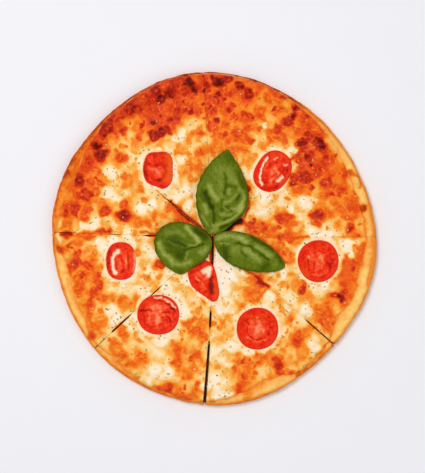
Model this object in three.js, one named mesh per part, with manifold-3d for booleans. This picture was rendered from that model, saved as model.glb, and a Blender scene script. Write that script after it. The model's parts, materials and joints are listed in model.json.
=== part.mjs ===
// Margherita pizza, baked and cut into eight slices that still lie together.
// Millimetres, +Z up. The origin is on the underside, in the middle of the outline.
// The whole pizza is laid up in layers (dough, sauce, cheese), the knife cuts divide every layer,
// and the tomato slices and basil leaves lie on top.

import * as THREE from 'three';
import { mergeVertices } from 'three/addons/utils/BufferGeometryUtils.js';
import Module from 'manifold-3d';

const wasm = await Module();
wasm.setup();

// ---------------------------------------------------------------- driving dimensions

const PIZZA_RADIUS = 140;
const BASE_THICKNESS = 4.5;
const CROWN_HEIGHT = 12;
const SAUCE_THICKNESS = 1;
const CHEESE_THICKNESS = 3;
const CHEESE_OVER_RIM = 1.3;
const LAYER_GAP = 0.3;

const DOUGH_SEGMENTS = 56;
const TOPPING_SEGMENTS = 64;
const RELIEF_STEP = 8;

const TOMATO_THICKNESS = 3.2;
const TOMATO_SINK = 1.4;
const TOMATO_CLEARANCE = 0.3;
const TOMATO_SEGMENTS = 22;
const TOMATO_SCRAP_VOLUME = 25;

const LEAF_THICKNESS = 0.5;
const LEAF_GROOVE = { depth: 1.3, width: 0.2 };
const LEAF_EDGE_DROP = 0.35;
const LEAF_RIPPLE_TURN = 11;
const LEAF_STATIONS = 14;
const LEAF_LANES = 4;
const LEAF_CROSS_SHARE = 0.55;

const WELD_DISTANCE = 1e-3;
// Cutting prisms run from below the underside to well above the leaves.
const CUT_FLOOR = -1;
const CUT_CEILING = 40;

// Heights of the stack over the flat of the base.
const SAUCE_LIFT = LAYER_GAP;
const CHEESE_LIFT = SAUCE_LIFT + SAUCE_THICKNESS + LAYER_GAP;
const CHEESE_TOP = BASE_THICKNESS + CHEESE_LIFT + CHEESE_THICKNESS;
const TOMATO_SEAT = CHEESE_TOP - TOMATO_SINK;

// Hand-stretched outline: [waves round the rim, swell in mm, direction of a swell in degrees].
const OUTLINE_WAVES = [[2, 2.0, -78], [3, 0.7, -3], [4, 1.3, -3], [5, 0.3, 3], [6, 0.75, -16]];

// Rim section: [distance in from the outline, height], from the underside over the crown.
const RIM_SECTION = [
  [6, 0], [1.5, 1.1], [0, 4.8], [1.1, 8.8], [3.9, 11.3],
  [7.6, CROWN_HEIGHT], [11.6, 10.4], [15.6, 6.7], [20.5, BASE_THICKNESS],
];

// The crown swells and sinks: [waves, share of the rise, phase in degrees].
const CROWN_WAVES = [[3, 0.05, 20], [7, 0.05, 75], [11, 0.04, 10]];
const COVERED_CROWN = { direction: 100, spread: 44, loss: 0.22 };

// Width of rim that the topping leaves bare: [direction in degrees, width in mm].
const BARE_RIM = [
  [0, 10], [15, 10.5], [30, 8.5], [45, 6], [60, 2.5], [90, 2], [120, 2], [132, 3], [141, 6],
  [152, 10], [163, 10], [173, 6], [179, 3.5], [189, 10], [212, 9.5], [218, 3.5], [228, 7],
  [237, 6.5], [245, 3], [258, 2.5], [270, 4], [280, 10], [290, 13], [297, 11], [303, 4],
  [312, 4], [318.5, 6], [328, 14], [336, 12.5], [348, 13],
];
// Small lobes of the topping's edge: [waves round the rim, size in mm, phase in degrees].
const EDGE_LOBES = [[11, 0.6, -90], [19, 0.4, 88]];
const SAUCE_MARGIN = 1.4;
const LEAST_BARE_RIM = 1.2;

// Knife cuts from the crossing: direction, half gap at the middle, half way and at the rim, and bow.
const CROSSING = [-0.3, 0.9];
const CUTS = [
  { direction: 0.4, gap: [0.3, 0.2, 0.2], bow: 0 },
  { direction: 44, gap: [0.3, 0.2, 0.2], bow: 0 },
  { direction: 93.3, gap: [0.3, 0.25, 0.25], bow: 0 },
  { direction: 140, gap: [0.8, 0.3, 0.2], bow: 0 },
  { direction: 178, gap: [0.4, 0.35, 0.25], bow: 0 },
  { direction: 223, gap: [0.3, 0.35, 0.75], bow: 0 },
  { direction: 266.8, gap: [0.7, 1.1, 1.4], bow: 1.7 },
  { direction: 318.6, gap: [0.3, 0.25, 0.65], bow: 0 },
];
const CUT_STATIONS = 4;
const CUT_REACH = 1.15 * PIZZA_RADIUS;
const WEDGE_CORNER = 1.3 * PIZZA_RADIUS;

// Larger blisters in the cheese: [x, y, radius].
const BLISTERS = [
  [-91, 93, 7], [-71, 112, 7], [-46, 91, 9], [-99, 74, 9], [-115, 50, 9], [-110, 35, 8],
  [-77, 21, 10], [-93, 25, 7], [-75, 51, 8], [-29, 107, 8], [0, 113, 9], [24, 104, 8],
  [60, 94, 9], [92, 81, 9], [77, 55, 11], [61, 17, 10], [91, 17, 10], [98, 50, 7],
  [-115, -23, 11], [-104, -44, 9], [-46, -24, 6], [-70, -101, 9], [-31, -105, 7],
  [39, -37, 8], [110, -38, 10], [91, -62, 10], [72, -88, 9], [32, -112, 11], [57, -108, 7],
];
const BLISTER_HEIGHT = 1.1;
// Slow unevenness of the melted cheese: [height, length of the wave, direction in degrees, phase].
const CHEESE_SWELLS = [[0.35, 46, 20, 0.4], [0.3, 31, 100, 1.9], [0.25, 23, 155, 3.1], [0.2, 17, 65, 5.2]];

// Tomato slices: centre, half axes, turn in degrees, and how square the outline is.
const TOMATOES = [
  { name: 'tomato_slice_upper_left', at: [-47.6, 59.1], half: [13.8, 16.2], turn: 0, square: 0.05 },
  { name: 'tomato_slice_upper_right', at: [50.7, 57.9], half: [18.9, 15], turn: 56.7, square: 0.02 },
  { name: 'tomato_slice_left', at: [-79.1, -18.9], half: [13.1, 16.7], turn: 0, square: 0.03 },
  { name: 'tomato_slice_lower_left', at: [-47.1, -64.9], half: [18.2, 17.2], turn: 0, square: 0.01 },
  { name: 'tomato_slice_lower_right', at: [37.8, -76.8], half: [18, 18.2], turn: 0, square: 0.01 },
  { name: 'tomato_slice_right', at: [89.7, -18.9], half: [17.8, 18.2], turn: 0, square: 0.01 },
  { name: 'tomato_slice_middle', at: [-8, -36.4], half: [13, 19.5], turn: 20, square: 0.03 },
];
// Section of a baked tomato slice: [share of the radius, share of the thickness].
const TOMATO_SECTION = [[0.98, 0], [1, 0.6], [0.95, 1], [0.82, 0.9], [0.48, 0.8], [0.2, 0.86]];
const TOMATO_CHAMBERS = { count: 3, middle: 0.5, width: 0.2, depth: 0.12 };

// Basil leaves: midrib from the base over a bend point to the tip, half widths to the left and right
// of it [width, place of the widest part, fullness], rise of the middle and puff of the two halves.
const LEAVES = [
  {
    name: 'basil_leaf_top', base: [-1, 5.2], bend: [12.4, 43.5], tip: [13, 76.5],
    left: [22.7, 0.46, 0.7], right: [22.7, 0.38, 1], rest: 10.8, rise: 6, puff: 3, ripple: 0.8,
  },
  {
    name: 'basil_leaf_left', base: [-2.4, 0.9], bend: [-30.7, -1.8], tip: [-29.2, -30.2],
    left: [17.9, 0.43, 0.63], right: [28.2, 0.58, 0.45], rest: 10.8, rise: 5, puff: 2.5, ripple: 0.7,
  },
  {
    name: 'basil_leaf_right', base: [1.4, 0], bend: [33, -2.6], tip: [61, -24.1],
    left: [9.6, 0.46, 0.45], right: [20.2, 0.43, 0.6], rest: 10.8, rise: 5, puff: 2.5, ripple: 0.7,
  },
];

// ---------------------------------------------------------------- small helpers

const radians = THREE.MathUtils.degToRad;
const wrap = (degrees) => ((degrees % 360) + 360) % 360;

// Straight interpolation in a list of [place, value] pairs sorted by place.
function interpolate(pairs, place) {
  for (let i = 1; i < pairs.length; i += 1) {
    const [a, va] = pairs[i - 1];
    const [b, vb] = pairs[i];
    if (place <= b) return va + ((vb - va) * Math.max(place - a, 0)) / (b - a);
  }
  return pairs[pairs.length - 1][1];
}

// A closed mesh as a solid that can be joined and cut.
function toSolid(geometry) {
  const bare = new THREE.BufferGeometry();
  bare.setAttribute('position', geometry.attributes.position);
  if (geometry.index) bare.setIndex(geometry.index);
  const welded = mergeVertices(bare, WELD_DISTANCE);
  const corners = Array.from(welded.index.array);
  const kept = [];
  for (let i = 0; i < corners.length; i += 3) {
    const [a, b, c] = corners.slice(i, i + 3);
    if (a !== b && b !== c && c !== a) kept.push(a, b, c);
  }
  return new wasm.Manifold(new wasm.Mesh({
    numProp: 3,
    vertProperties: new Float32Array(welded.attributes.position.array),
    triVerts: new Uint32Array(kept),
  }));
}

// The main body of a solid, as geometry: loose scraps that a cut leaves are dropped.
function toGeometry(solid) {
  const bodies = solid.decompose().sort((a, b) => b.volume() - a.volume());
  const mesh = bodies[0].getMesh();
  const geometry = new THREE.BufferGeometry();
  geometry.setAttribute('position', new THREE.BufferAttribute(mesh.vertProperties, 3));
  geometry.setIndex(new THREE.BufferAttribute(mesh.triVerts, 1));
  geometry.computeVertexNormals();
  return geometry;
}

// An upright prism over a closed outline of [x, y] points.
function prism(points, bottom, top) {
  const shape = new THREE.Shape(points.map(([x, y]) => new THREE.Vector2(x, y)));
  const geometry = new THREE.ExtrudeGeometry(shape, { depth: top - bottom, bevelEnabled: false });
  return toSolid(geometry.translate(0, 0, bottom));
}

// A solid of revolution about +Z from a section of [radius, height] that starts and ends on the axis.
function turned(section, segments) {
  const points = section.map(([r, z]) => new THREE.Vector2(r, z));
  return new THREE.LatheGeometry(points, segments).rotateX(Math.PI / 2);
}

// ---------------------------------------------------------------- outline and heights

function outlineRadius(degrees) {
  let radius = PIZZA_RADIUS;
  for (const [waves, swell, direction] of OUTLINE_WAVES) {
    radius += swell * Math.cos(waves * radians(degrees - direction));
  }
  return radius;
}

function bareRim(degrees) {
  const closed = [...BARE_RIM, [360, BARE_RIM[0][1]]];
  return interpolate(closed, wrap(degrees));
}

function crownShare(degrees) {
  let share = 1;
  for (const [waves, part, phase] of CROWN_WAVES) {
    share += part * Math.cos(waves * radians(degrees - phase));
  }
  const away = wrap(degrees - COVERED_CROWN.direction + 180) - 180;
  return share - COVERED_CROWN.loss * Math.exp(-((away / COVERED_CROWN.spread) ** 2));
}

function cheeseRelief(x, y) {
  let height = 0;
  for (const [size, length, direction, phase] of CHEESE_SWELLS) {
    const along = x * Math.cos(radians(direction)) + y * Math.sin(radians(direction));
    height += size * Math.sin((2 * Math.PI * along) / length + phase);
  }
  for (const [bx, by, radius] of BLISTERS) {
    const away = Math.hypot(x - bx, y - by) / radius;
    height += BLISTER_HEIGHT * Math.exp(-2 * away * away);
  }
  return height;
}

// ---------------------------------------------------------------- layers

// The whole dough disc, raised by a lift: two of them a layer apart bound that layer.
function doughDisc(lift) {
  const rim = RIM_SECTION.map(([inset, z]) => [PIZZA_RADIUS - inset, z]);
  const geometry = turned([[0, 0], ...rim, [0, BASE_THICKNESS]], DOUGH_SEGMENTS);
  const place = geometry.attributes.position;
  for (let i = 0; i < place.count; i += 1) {
    const x = place.getX(i);
    const y = place.getY(i);
    const z = place.getZ(i);
    const degrees = wrap(THREE.MathUtils.radToDeg(Math.atan2(y, x)));
    const stretch = outlineRadius(degrees) / PIZZA_RADIUS;
    const over = Math.max(z - BASE_THICKNESS, 0) * (crownShare(degrees) - 1);
    place.setXYZ(i, x * stretch, y * stretch, z + over + lift);
  }
  return toSolid(geometry);
}

// A ring of points that keeps a distance in from the outline and wanders a little, as melted edges do.
function toppingOutline(extra) {
  const points = [];
  for (let i = 0; i < TOPPING_SEGMENTS; i += 1) {
    const degrees = (360 * i) / TOPPING_SEGMENTS;
    let inset = bareRim(degrees) - extra;
    for (const [waves, size, phase] of EDGE_LOBES) {
      inset += size * Math.cos(radians(waves * degrees - phase));
    }
    inset = Math.max(inset, LEAST_BARE_RIM);
    const radius = outlineRadius(degrees) - inset;
    points.push([radius * Math.cos(radians(degrees)), radius * Math.sin(radians(degrees))]);
  }
  return points;
}

// Block with the uneven top of the melted cheese, which lies level up to the rim.
function cheeseBlock() {
  const span = RELIEF_STEP * Math.ceil((2 * (PIZZA_RADIUS + RELIEF_STEP)) / RELIEF_STEP);
  const cells = span / RELIEF_STEP;
  const geometry = new THREE.BoxGeometry(span, span, 1, cells, cells, 1);
  const place = geometry.attributes.position;
  const floor = BASE_THICKNESS / 2;
  for (let i = 0; i < place.count; i += 1) {
    const x = place.getX(i);
    const y = place.getY(i);
    place.setZ(i, place.getZ(i) > 0 ? CHEESE_TOP + cheeseRelief(x, y) : floor);
  }
  return toSolid(geometry);
}

function sauceLayer() {
  const outline = prism(toppingOutline(SAUCE_MARGIN), CUT_FLOOR, CUT_CEILING);
  return doughDisc(SAUCE_LIFT + SAUCE_THICKNESS).intersect(outline).subtract(doughDisc(SAUCE_LIFT));
}

function cheeseLayer(pockets) {
  const outline = prism(toppingOutline(0), CUT_FLOOR, CUT_CEILING);
  const shell = doughDisc(CHEESE_LIFT + CHEESE_OVER_RIM);
  let layer = cheeseBlock().add(shell).intersect(outline).subtract(doughDisc(CHEESE_LIFT));
  for (const pocket of pockets) layer = layer.subtract(pocket);
  return layer;
}

// ---------------------------------------------------------------- knife cuts

// Points along one side of a cut, from the crossing outwards.
function cutSide(cut, side) {
  const along = [Math.cos(radians(cut.direction)), Math.sin(radians(cut.direction))];
  const gaps = cut.gap.map((gap, i) => [(i / 2) * PIZZA_RADIUS, gap]);
  const points = [];
  for (let i = 1; i <= CUT_STATIONS; i += 1) {
    const share = i / CUT_STATIONS;
    const out = CUT_REACH * share;
    const away = side * interpolate(gaps, out) + cut.bow * Math.sin(Math.PI * share);
    points.push([
      CROSSING[0] + out * along[0] - away * along[1],
      CROSSING[1] + out * along[1] + away * along[0],
    ]);
  }
  return points;
}

// The wedge between two neighbouring cuts, as a tall prism.
function wedge(first, second) {
  const opening = wrap(second.direction - first.direction);
  const middle = radians(first.direction + opening / 2);
  const tipGap = Math.max(first.gap[0], second.gap[0]) / Math.sin(radians(opening / 2));
  const tip = [CROSSING[0] + tipGap * Math.cos(middle), CROSSING[1] + tipGap * Math.sin(middle)];
  const far = [
    CROSSING[0] + WEDGE_CORNER * Math.cos(middle),
    CROSSING[1] + WEDGE_CORNER * Math.sin(middle),
  ];
  const outline = [tip, ...cutSide(first, 1), far, ...cutSide(second, -1).reverse()];
  return prism(outline, CUT_FLOOR, CUT_CEILING);
}

// ---------------------------------------------------------------- toppings

// Outline radius of a tomato slice in its own frame, as a share of the ellipse.
const tomatoShare = (tomato, angle) => 1 + tomato.square * Math.cos(4 * (angle - Math.PI / 4));

function tomatoSlice(tomato) {
  const section = TOMATO_SECTION.map(([r, z]) => [r, z * TOMATO_THICKNESS]);
  const top = section[section.length - 1][1];
  const geometry = turned([[0, 0], ...section, [0, top]], TOMATO_SEGMENTS);
  const place = geometry.attributes.position;
  for (let i = 0; i < place.count; i += 1) {
    const x = place.getX(i);
    const y = place.getY(i);
    const z = place.getZ(i);
    const angle = Math.atan2(y, x);
    const ring = Math.hypot(x, y);
    const inChamber = Math.exp(-(((ring - TOMATO_CHAMBERS.middle) / TOMATO_CHAMBERS.width) ** 2));
    const wave = 0.5 + 0.5 * Math.cos(TOMATO_CHAMBERS.count * angle + tomato.turn);
    const deepest = z > TOMATO_THICKNESS / 2 ? TOMATO_CHAMBERS.depth * TOMATO_THICKNESS : 0;
    const share = tomatoShare(tomato, angle);
    place.setXYZ(i, x * share * tomato.half[0], y * share * tomato.half[1], z - deepest * inChamber * wave);
  }
  geometry.rotateZ(radians(tomato.turn)).translate(tomato.at[0], tomato.at[1], TOMATO_SEAT);
  return toSolid(geometry);
}

// The room that a tomato slice takes up in the cheese.
function tomatoPocket(tomato) {
  const turn = radians(tomato.turn);
  const points = [];
  for (let i = 0; i < TOMATO_SEGMENTS; i += 1) {
    const angle = (2 * Math.PI * i) / TOMATO_SEGMENTS;
    const share = tomatoShare(tomato, angle);
    const u = (tomato.half[0] * share + 2 * TOMATO_CLEARANCE) * Math.cos(angle);
    const v = (tomato.half[1] * share + 2 * TOMATO_CLEARANCE) * Math.sin(angle);
    points.push([
      tomato.at[0] + u * Math.cos(turn) - v * Math.sin(turn),
      tomato.at[1] + u * Math.sin(turn) + v * Math.cos(turn),
    ]);
  }
  return prism(points, TOMATO_SEAT - TOMATO_CLEARANCE, CUT_CEILING);
}

function leafHalfWidth([width, widest, fullness], s) {
  const bend = Math.log(0.5) / Math.log(widest);
  return width * Math.max(Math.sin(Math.PI * s ** bend), 0) ** fullness;
}

// Middle of the leaf's thickness at a share of its length and of its half width. The cross lines lean
// from square to the midrib towards square to the whole leaf, so they don't run together in its bend.
function leafPoint(leaf, s, across) {
  const midrib = new THREE.QuadraticBezierCurve(
    new THREE.Vector2(...leaf.base),
    new THREE.Vector2(...leaf.bend),
    new THREE.Vector2(...leaf.tip),
  );
  const at = midrib.getPoint(s);
  const ahead = midrib.getTangent(s).lerp(midrib.v2.clone().sub(midrib.v0).normalize(), LEAF_CROSS_SHARE);
  ahead.normalize();
  const half = leafHalfWidth(across < 0 ? leaf.right : leaf.left, s);
  const sway = Math.sin(Math.PI * s);
  const rise = leaf.rise * sway * (1 - LEAF_EDGE_DROP * across * across);
  const puff = leaf.puff * sway * (1 - across * across);
  const groove = LEAF_GROOVE.depth * sway * Math.exp(-((across / LEAF_GROOVE.width) ** 2));
  const turn = LEAF_RIPPLE_TURN * s + 2 * Math.sign(across);
  const ripple = leaf.ripple * sway * across * across * Math.sin(turn);
  return new THREE.Vector3(
    at.x - ahead.y * half * across,
    at.y + ahead.x * half * across,
    leaf.rest + LEAF_THICKNESS / 2 + rise + puff - groove + ripple,
  );
}

// A thin wavy solid: the same net of triangles above and below, joined round the edge.
function basilLeaf(leaf) {
  const lanes = 2 * LEAF_LANES;
  const rows = [];
  for (let i = 1; i < LEAF_STATIONS; i += 1) {
    const s = (1 - Math.cos((Math.PI * i) / LEAF_STATIONS)) / 2;
    const row = [];
    for (let j = 0; j <= lanes; j += 1) row.push(leafPoint(leaf, s, j / LEAF_LANES - 1));
    rows.push(row);
  }
  const ends = [leafPoint(leaf, 0, 0), leafPoint(leaf, 1, 0)];
  const net = [...rows.flat(), ...ends];
  const at = (i, j) => i * (lanes + 1) + j;
  const [baseEnd, tipEnd] = [net.length - 2, net.length - 1];
  const last = rows.length - 1;
  const faces = [];
  for (let j = 0; j < lanes; j += 1) {
    faces.push([baseEnd, at(0, j + 1), at(0, j)], [tipEnd, at(last, j), at(last, j + 1)]);
    for (let i = 0; i < last; i += 1) {
      faces.push([at(i, j), at(i, j + 1), at(i + 1, j)]);
      faces.push([at(i, j + 1), at(i + 1, j + 1), at(i + 1, j)]);
    }
  }
  const rightEdge = rows.map((_, i) => at(i, 0));
  const leftEdge = rows.map((_, i) => at(i, lanes)).reverse();
  const border = [baseEnd, ...rightEdge, tipEnd, ...leftEdge];
  const below = net.length;
  const triangles = [];
  for (const [a, b, c] of faces) triangles.push(a, c, b, a + below, b + below, c + below);
  border.forEach((a, i) => {
    const b = border[(i + 1) % border.length];
    triangles.push(a, b + below, b, a, a + below, b + below);
  });
  const heights = [LEAF_THICKNESS / 2, -LEAF_THICKNESS / 2];
  const positions = heights.flatMap((dz) => net.flatMap((p) => [p.x, p.y, p.z + dz]));
  const geometry = new THREE.BufferGeometry();
  geometry.setAttribute('position', new THREE.Float32BufferAttribute(positions, 3));
  geometry.setIndex(triangles);
  geometry.computeVertexNormals();
  return geometry;
}

// ---------------------------------------------------------------- materials

const finish = (color, roughness) => new THREE.MeshStandardMaterial({ color, roughness, metalness: 0 });
const BAKED_DOUGH = finish('#f2bd68', 0.75);
const TOMATO_SAUCE = finish('#c8391b', 0.5);
const MELTED_CHEESE = finish('#f9cf86', 0.4);
const TOMATO_FLESH = finish('#e8301c', 0.3);
const BASIL = finish('#4f6b12', 0.45);

// ---------------------------------------------------------------- the pizza

const pizza = new THREE.Group();
pizza.name = 'margherita_pizza';

function place(name, geometry, material) {
  const mesh = new THREE.Mesh(geometry, material);
  mesh.name = name;
  pizza.add(mesh);
}

const wedges = CUTS.map((cut, i) => wedge(cut, CUTS[(i + 1) % CUTS.length]));
const layers = [
  { name: 'dough_slice', solid: doughDisc(0), material: BAKED_DOUGH },
  { name: 'sauce_slice', solid: sauceLayer(), material: TOMATO_SAUCE },
  { name: 'cheese_slice', solid: cheeseLayer(TOMATOES.map(tomatoPocket)), material: MELTED_CHEESE },
];
for (const { name, solid, material } of layers) {
  wedges.forEach((piece, i) => place(`${name}_${i + 1}`, toGeometry(solid.intersect(piece)), material));
}

// A knife cut that crosses a tomato slice divides it: each part keeps the number of its pizza slice.
for (const tomato of TOMATOES) {
  const whole = tomatoSlice(tomato);
  const parts = wedges.map((piece, i) => ({ solid: whole.intersect(piece), number: i + 1 }));
  const kept = parts.filter(({ solid }) => solid.volume() > TOMATO_SCRAP_VOLUME);
  for (const { solid, number } of kept) {
    const name = kept.length > 1 ? `${tomato.name}_part_${number}` : tomato.name;
    place(name, toGeometry(solid), TOMATO_FLESH);
  }
}

for (const leaf of LEAVES) place(leaf.name, basilLeaf(leaf), BASIL);

export default pizza;
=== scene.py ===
"""Margherita pizza, baked and cut into eight slices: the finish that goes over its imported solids.

The origin is on the underside, in the middle of the outline, with +Z up. Sizes and places are in
millimetres until a mesh or an object is made; nodes and settings have metres. Directions are in degrees
from +X.
"""

import json
import math

import bmesh
import bpy
import numpy as np
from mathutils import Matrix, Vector

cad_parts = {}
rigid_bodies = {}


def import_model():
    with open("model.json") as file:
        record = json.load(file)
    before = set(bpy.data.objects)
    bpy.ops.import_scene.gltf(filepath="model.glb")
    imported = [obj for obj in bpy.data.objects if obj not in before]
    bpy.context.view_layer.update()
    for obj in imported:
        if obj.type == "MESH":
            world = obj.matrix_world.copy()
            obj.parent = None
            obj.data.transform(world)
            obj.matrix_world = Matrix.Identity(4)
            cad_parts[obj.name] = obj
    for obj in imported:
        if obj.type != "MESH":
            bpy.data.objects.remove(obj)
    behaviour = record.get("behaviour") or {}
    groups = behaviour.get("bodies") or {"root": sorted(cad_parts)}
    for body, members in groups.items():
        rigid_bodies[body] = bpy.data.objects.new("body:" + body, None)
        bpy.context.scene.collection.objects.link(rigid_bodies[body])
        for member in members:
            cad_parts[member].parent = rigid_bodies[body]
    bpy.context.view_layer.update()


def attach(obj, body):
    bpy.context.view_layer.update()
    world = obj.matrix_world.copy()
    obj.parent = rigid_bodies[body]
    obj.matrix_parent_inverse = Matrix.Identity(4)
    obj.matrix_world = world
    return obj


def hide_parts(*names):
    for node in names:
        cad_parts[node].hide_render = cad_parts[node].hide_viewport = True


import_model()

bl_info = {
    "name": "Margherita pizza",
    "version": (1, 0, 0),
    "blender": (4, 5, 0),
    "location": "3D View > Sidebar > Pizza",
    "description": "Makes the crust, sauce, cheese, tomato and basil of a sliced margherita pizza",
    "category": "Add Mesh",
}

MM = 0.001

# ---------------------------------------------------------------- sizes shared with the solids

PIZZA_RADIUS = 140
BASE_THICKNESS = 4.5
CROWN_HEIGHT = 12
SIDE_HEIGHT = 4.8
CROWN_INSET = 7.6
FLANK_INSET = 20.5
UNDERCUT_INSET = 6
SHOULDER_POWER = 2.15
UNDERCUT_POWER = 2.5
SAUCE_LIFT = 0.05
SAUCE_THICKNESS = 0.95
SAUCE_EDGE_THICKNESS = 0.1
SAUCE_EDGE_RUN = 3.2
CHEESE_LIFT = 2.9
CHEESE_TOP = 9.1
CHEESE_BLEND = 2.2
CHEESE_EDGE_RUN = 4.5
LAYER_GAP = 0.02
TOMATO_SEAT = 7.7
TOMATO_THICKNESS = 3.2
TOMATO_GAP = 0.02
LEAF_THICKNESS = 0.5
LEAF_GROOVE = {"depth": 1.3, "width": 0.2}
LEAF_EDGE_DROP = 0.35
LEAF_RIPPLE_TURN = 11
LEAF_CROSS_SHARE = 0.55

# [waves round the rim, swell, direction of a swell]
OUTLINE_WAVES = [(2, 2.0, -78), (3, 0.7, -3), (4, 1.3, -3), (5, 0.3, 3), (6, 0.75, -16)]
# [waves, share of the rise, phase]
CROWN_WAVES = [(3, 0.05, 20), (7, 0.05, 75), (11, 0.04, 10)]
COVERED_CROWN = {"direction": 100, "spread": 44, "loss": 0.22}
# [direction, width of rim that the topping leaves bare]
BARE_RIM = [
    (0, 10), (15, 10.5), (30, 8.5), (45, 6), (60, 2.5), (90, 2), (120, 2), (132, 3), (141, 6),
    (152, 10), (163, 10), (173, 6), (179, 3.5), (189, 10), (212, 9.5), (218, 3.5), (228, 7),
    (237, 6.5), (245, 3), (258, 2.5), (270, 4), (280, 10), (290, 13), (297, 11), (303, 4),
    (312, 4), (318.5, 6), (328, 14), (336, 12.5), (348, 13),
]
# [waves round the rim, size, phase]
EDGE_LOBES = [(11, 0.6, -90), (19, 0.4, 88)]
SAUCE_MARGIN = 1.4
LEAST_SAUCE_MARGIN = 0.15
LEAST_BARE_RIM = 1.2

# Where the cuts cross, and how far out a bowed cut comes back to its straight line.
CROSSING = (-0.3, 0.9)
CUT_REACH = 1.15 * PIZZA_RADIUS
# Direction, bow, half gaps of the dough at the middle, half way and at the rim, and the half gaps that
# the cheese leaves at distances from the crossing, where it has partly run together again.
CUTS = [
    {"direction": 0.4, "bow": 0, "gap": (0.2, 0.06, 0.04), "cheese": [(0, 0.2), (40, 0.02), (140, 0.02)]},
    {"direction": 44, "bow": 0, "gap": (0.2, 0.06, 0.04), "cheese": [(0, 0.2), (30, 0.02), (140, 0.02)]},
    {"direction": 93.3, "bow": 0, "gap": (0.3, 0.12, 0.15),
     "cheese": [(0, 0.3), (70, 0.06), (92, 0.04), (104, 0.1), (118, 0.03), (140, 0.12)]},
    {"direction": 140, "bow": 0, "gap": (0.25, 0.2, 0.05),
     "cheese": [(0, 0.8), (14, 1.1), (34, 1.1), (44, 0.8), (52, 0.3), (58, 0.02), (140, 0.02)]},
    {"direction": 178, "bow": 0, "gap": (0.4, 0.35, 0.15),
     "cheese": [(0, 0.4), (36, 0.5), (42, 1), (55, 0.9), (61, 0.04), (78, 0.04), (84, 0.3), (92, 0.06),
                (118, 0.06), (122, 0.5), (128, 0.5), (132, 0.06), (140, 0.1)]},
    {"direction": 223, "bow": 0, "gap": (0.3, 0.35, 0.4),
     "cheese": [(0, 0.3), (58, 0.04), (64, 0.5), (72, 0.4), (77, 0.03), (94, 0.03), (98, 0.5), (103, 0.85),
                (117, 0.85), (119.5, 0.04), (124, 0.06), (127, 0.3), (131, 0.25), (134, 0.06), (140, 0.5)]},
    {"direction": 266.8, "bow": 1.7, "gap": (0.5, 1.1, 1.4),
     "cheese": [(0, 1.5), (18, 1.4), (25, 0.8), (30, 0.7), (46, 0.4), (50, 0.1), (61, 0.1), (65, 1.0),
                (75, 0.9), (79, 0.05), (87, 0.05), (91, 1.0), (120, 1.25), (140, 1.35)]},
    {"direction": 318.6, "bow": 0, "gap": (0.3, 0.2, 0.5),
     "cheese": [(0, 0.3), (20, 0.02), (104, 0.02), (109, 0.55), (140, 0.65)]},
]
SLICES = len(CUTS)

# [height, length of the wave, direction, phase]
CHEESE_SWELLS = [(0.35, 46, 20, 0.4), (0.3, 31, 100, 1.9), (0.25, 23, 155, 3.1), (0.2, 17, 65, 5.2)]
# [x, y, radius]
BLISTERS = [
    (-91, 93, 7), (-71, 112, 7), (-46, 91, 9), (-99, 74, 9), (-115, 50, 9), (-110, 35, 8),
    (-77, 21, 10), (-93, 25, 7), (-75, 51, 8), (-29, 107, 8), (0, 113, 9), (24, 104, 8),
    (60, 94, 9), (92, 81, 9), (77, 55, 11), (61, 17, 10), (91, 17, 10), (98, 50, 7),
    (-115, -23, 11), (-104, -44, 9), (-46, -24, 6), (-70, -101, 9), (-31, -105, 7),
    (39, -37, 8), (110, -38, 10), (91, -62, 10), (72, -88, 9), (32, -112, 11), (57, -108, 7),
]
BLISTER_HEIGHT = 1.1

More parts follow.
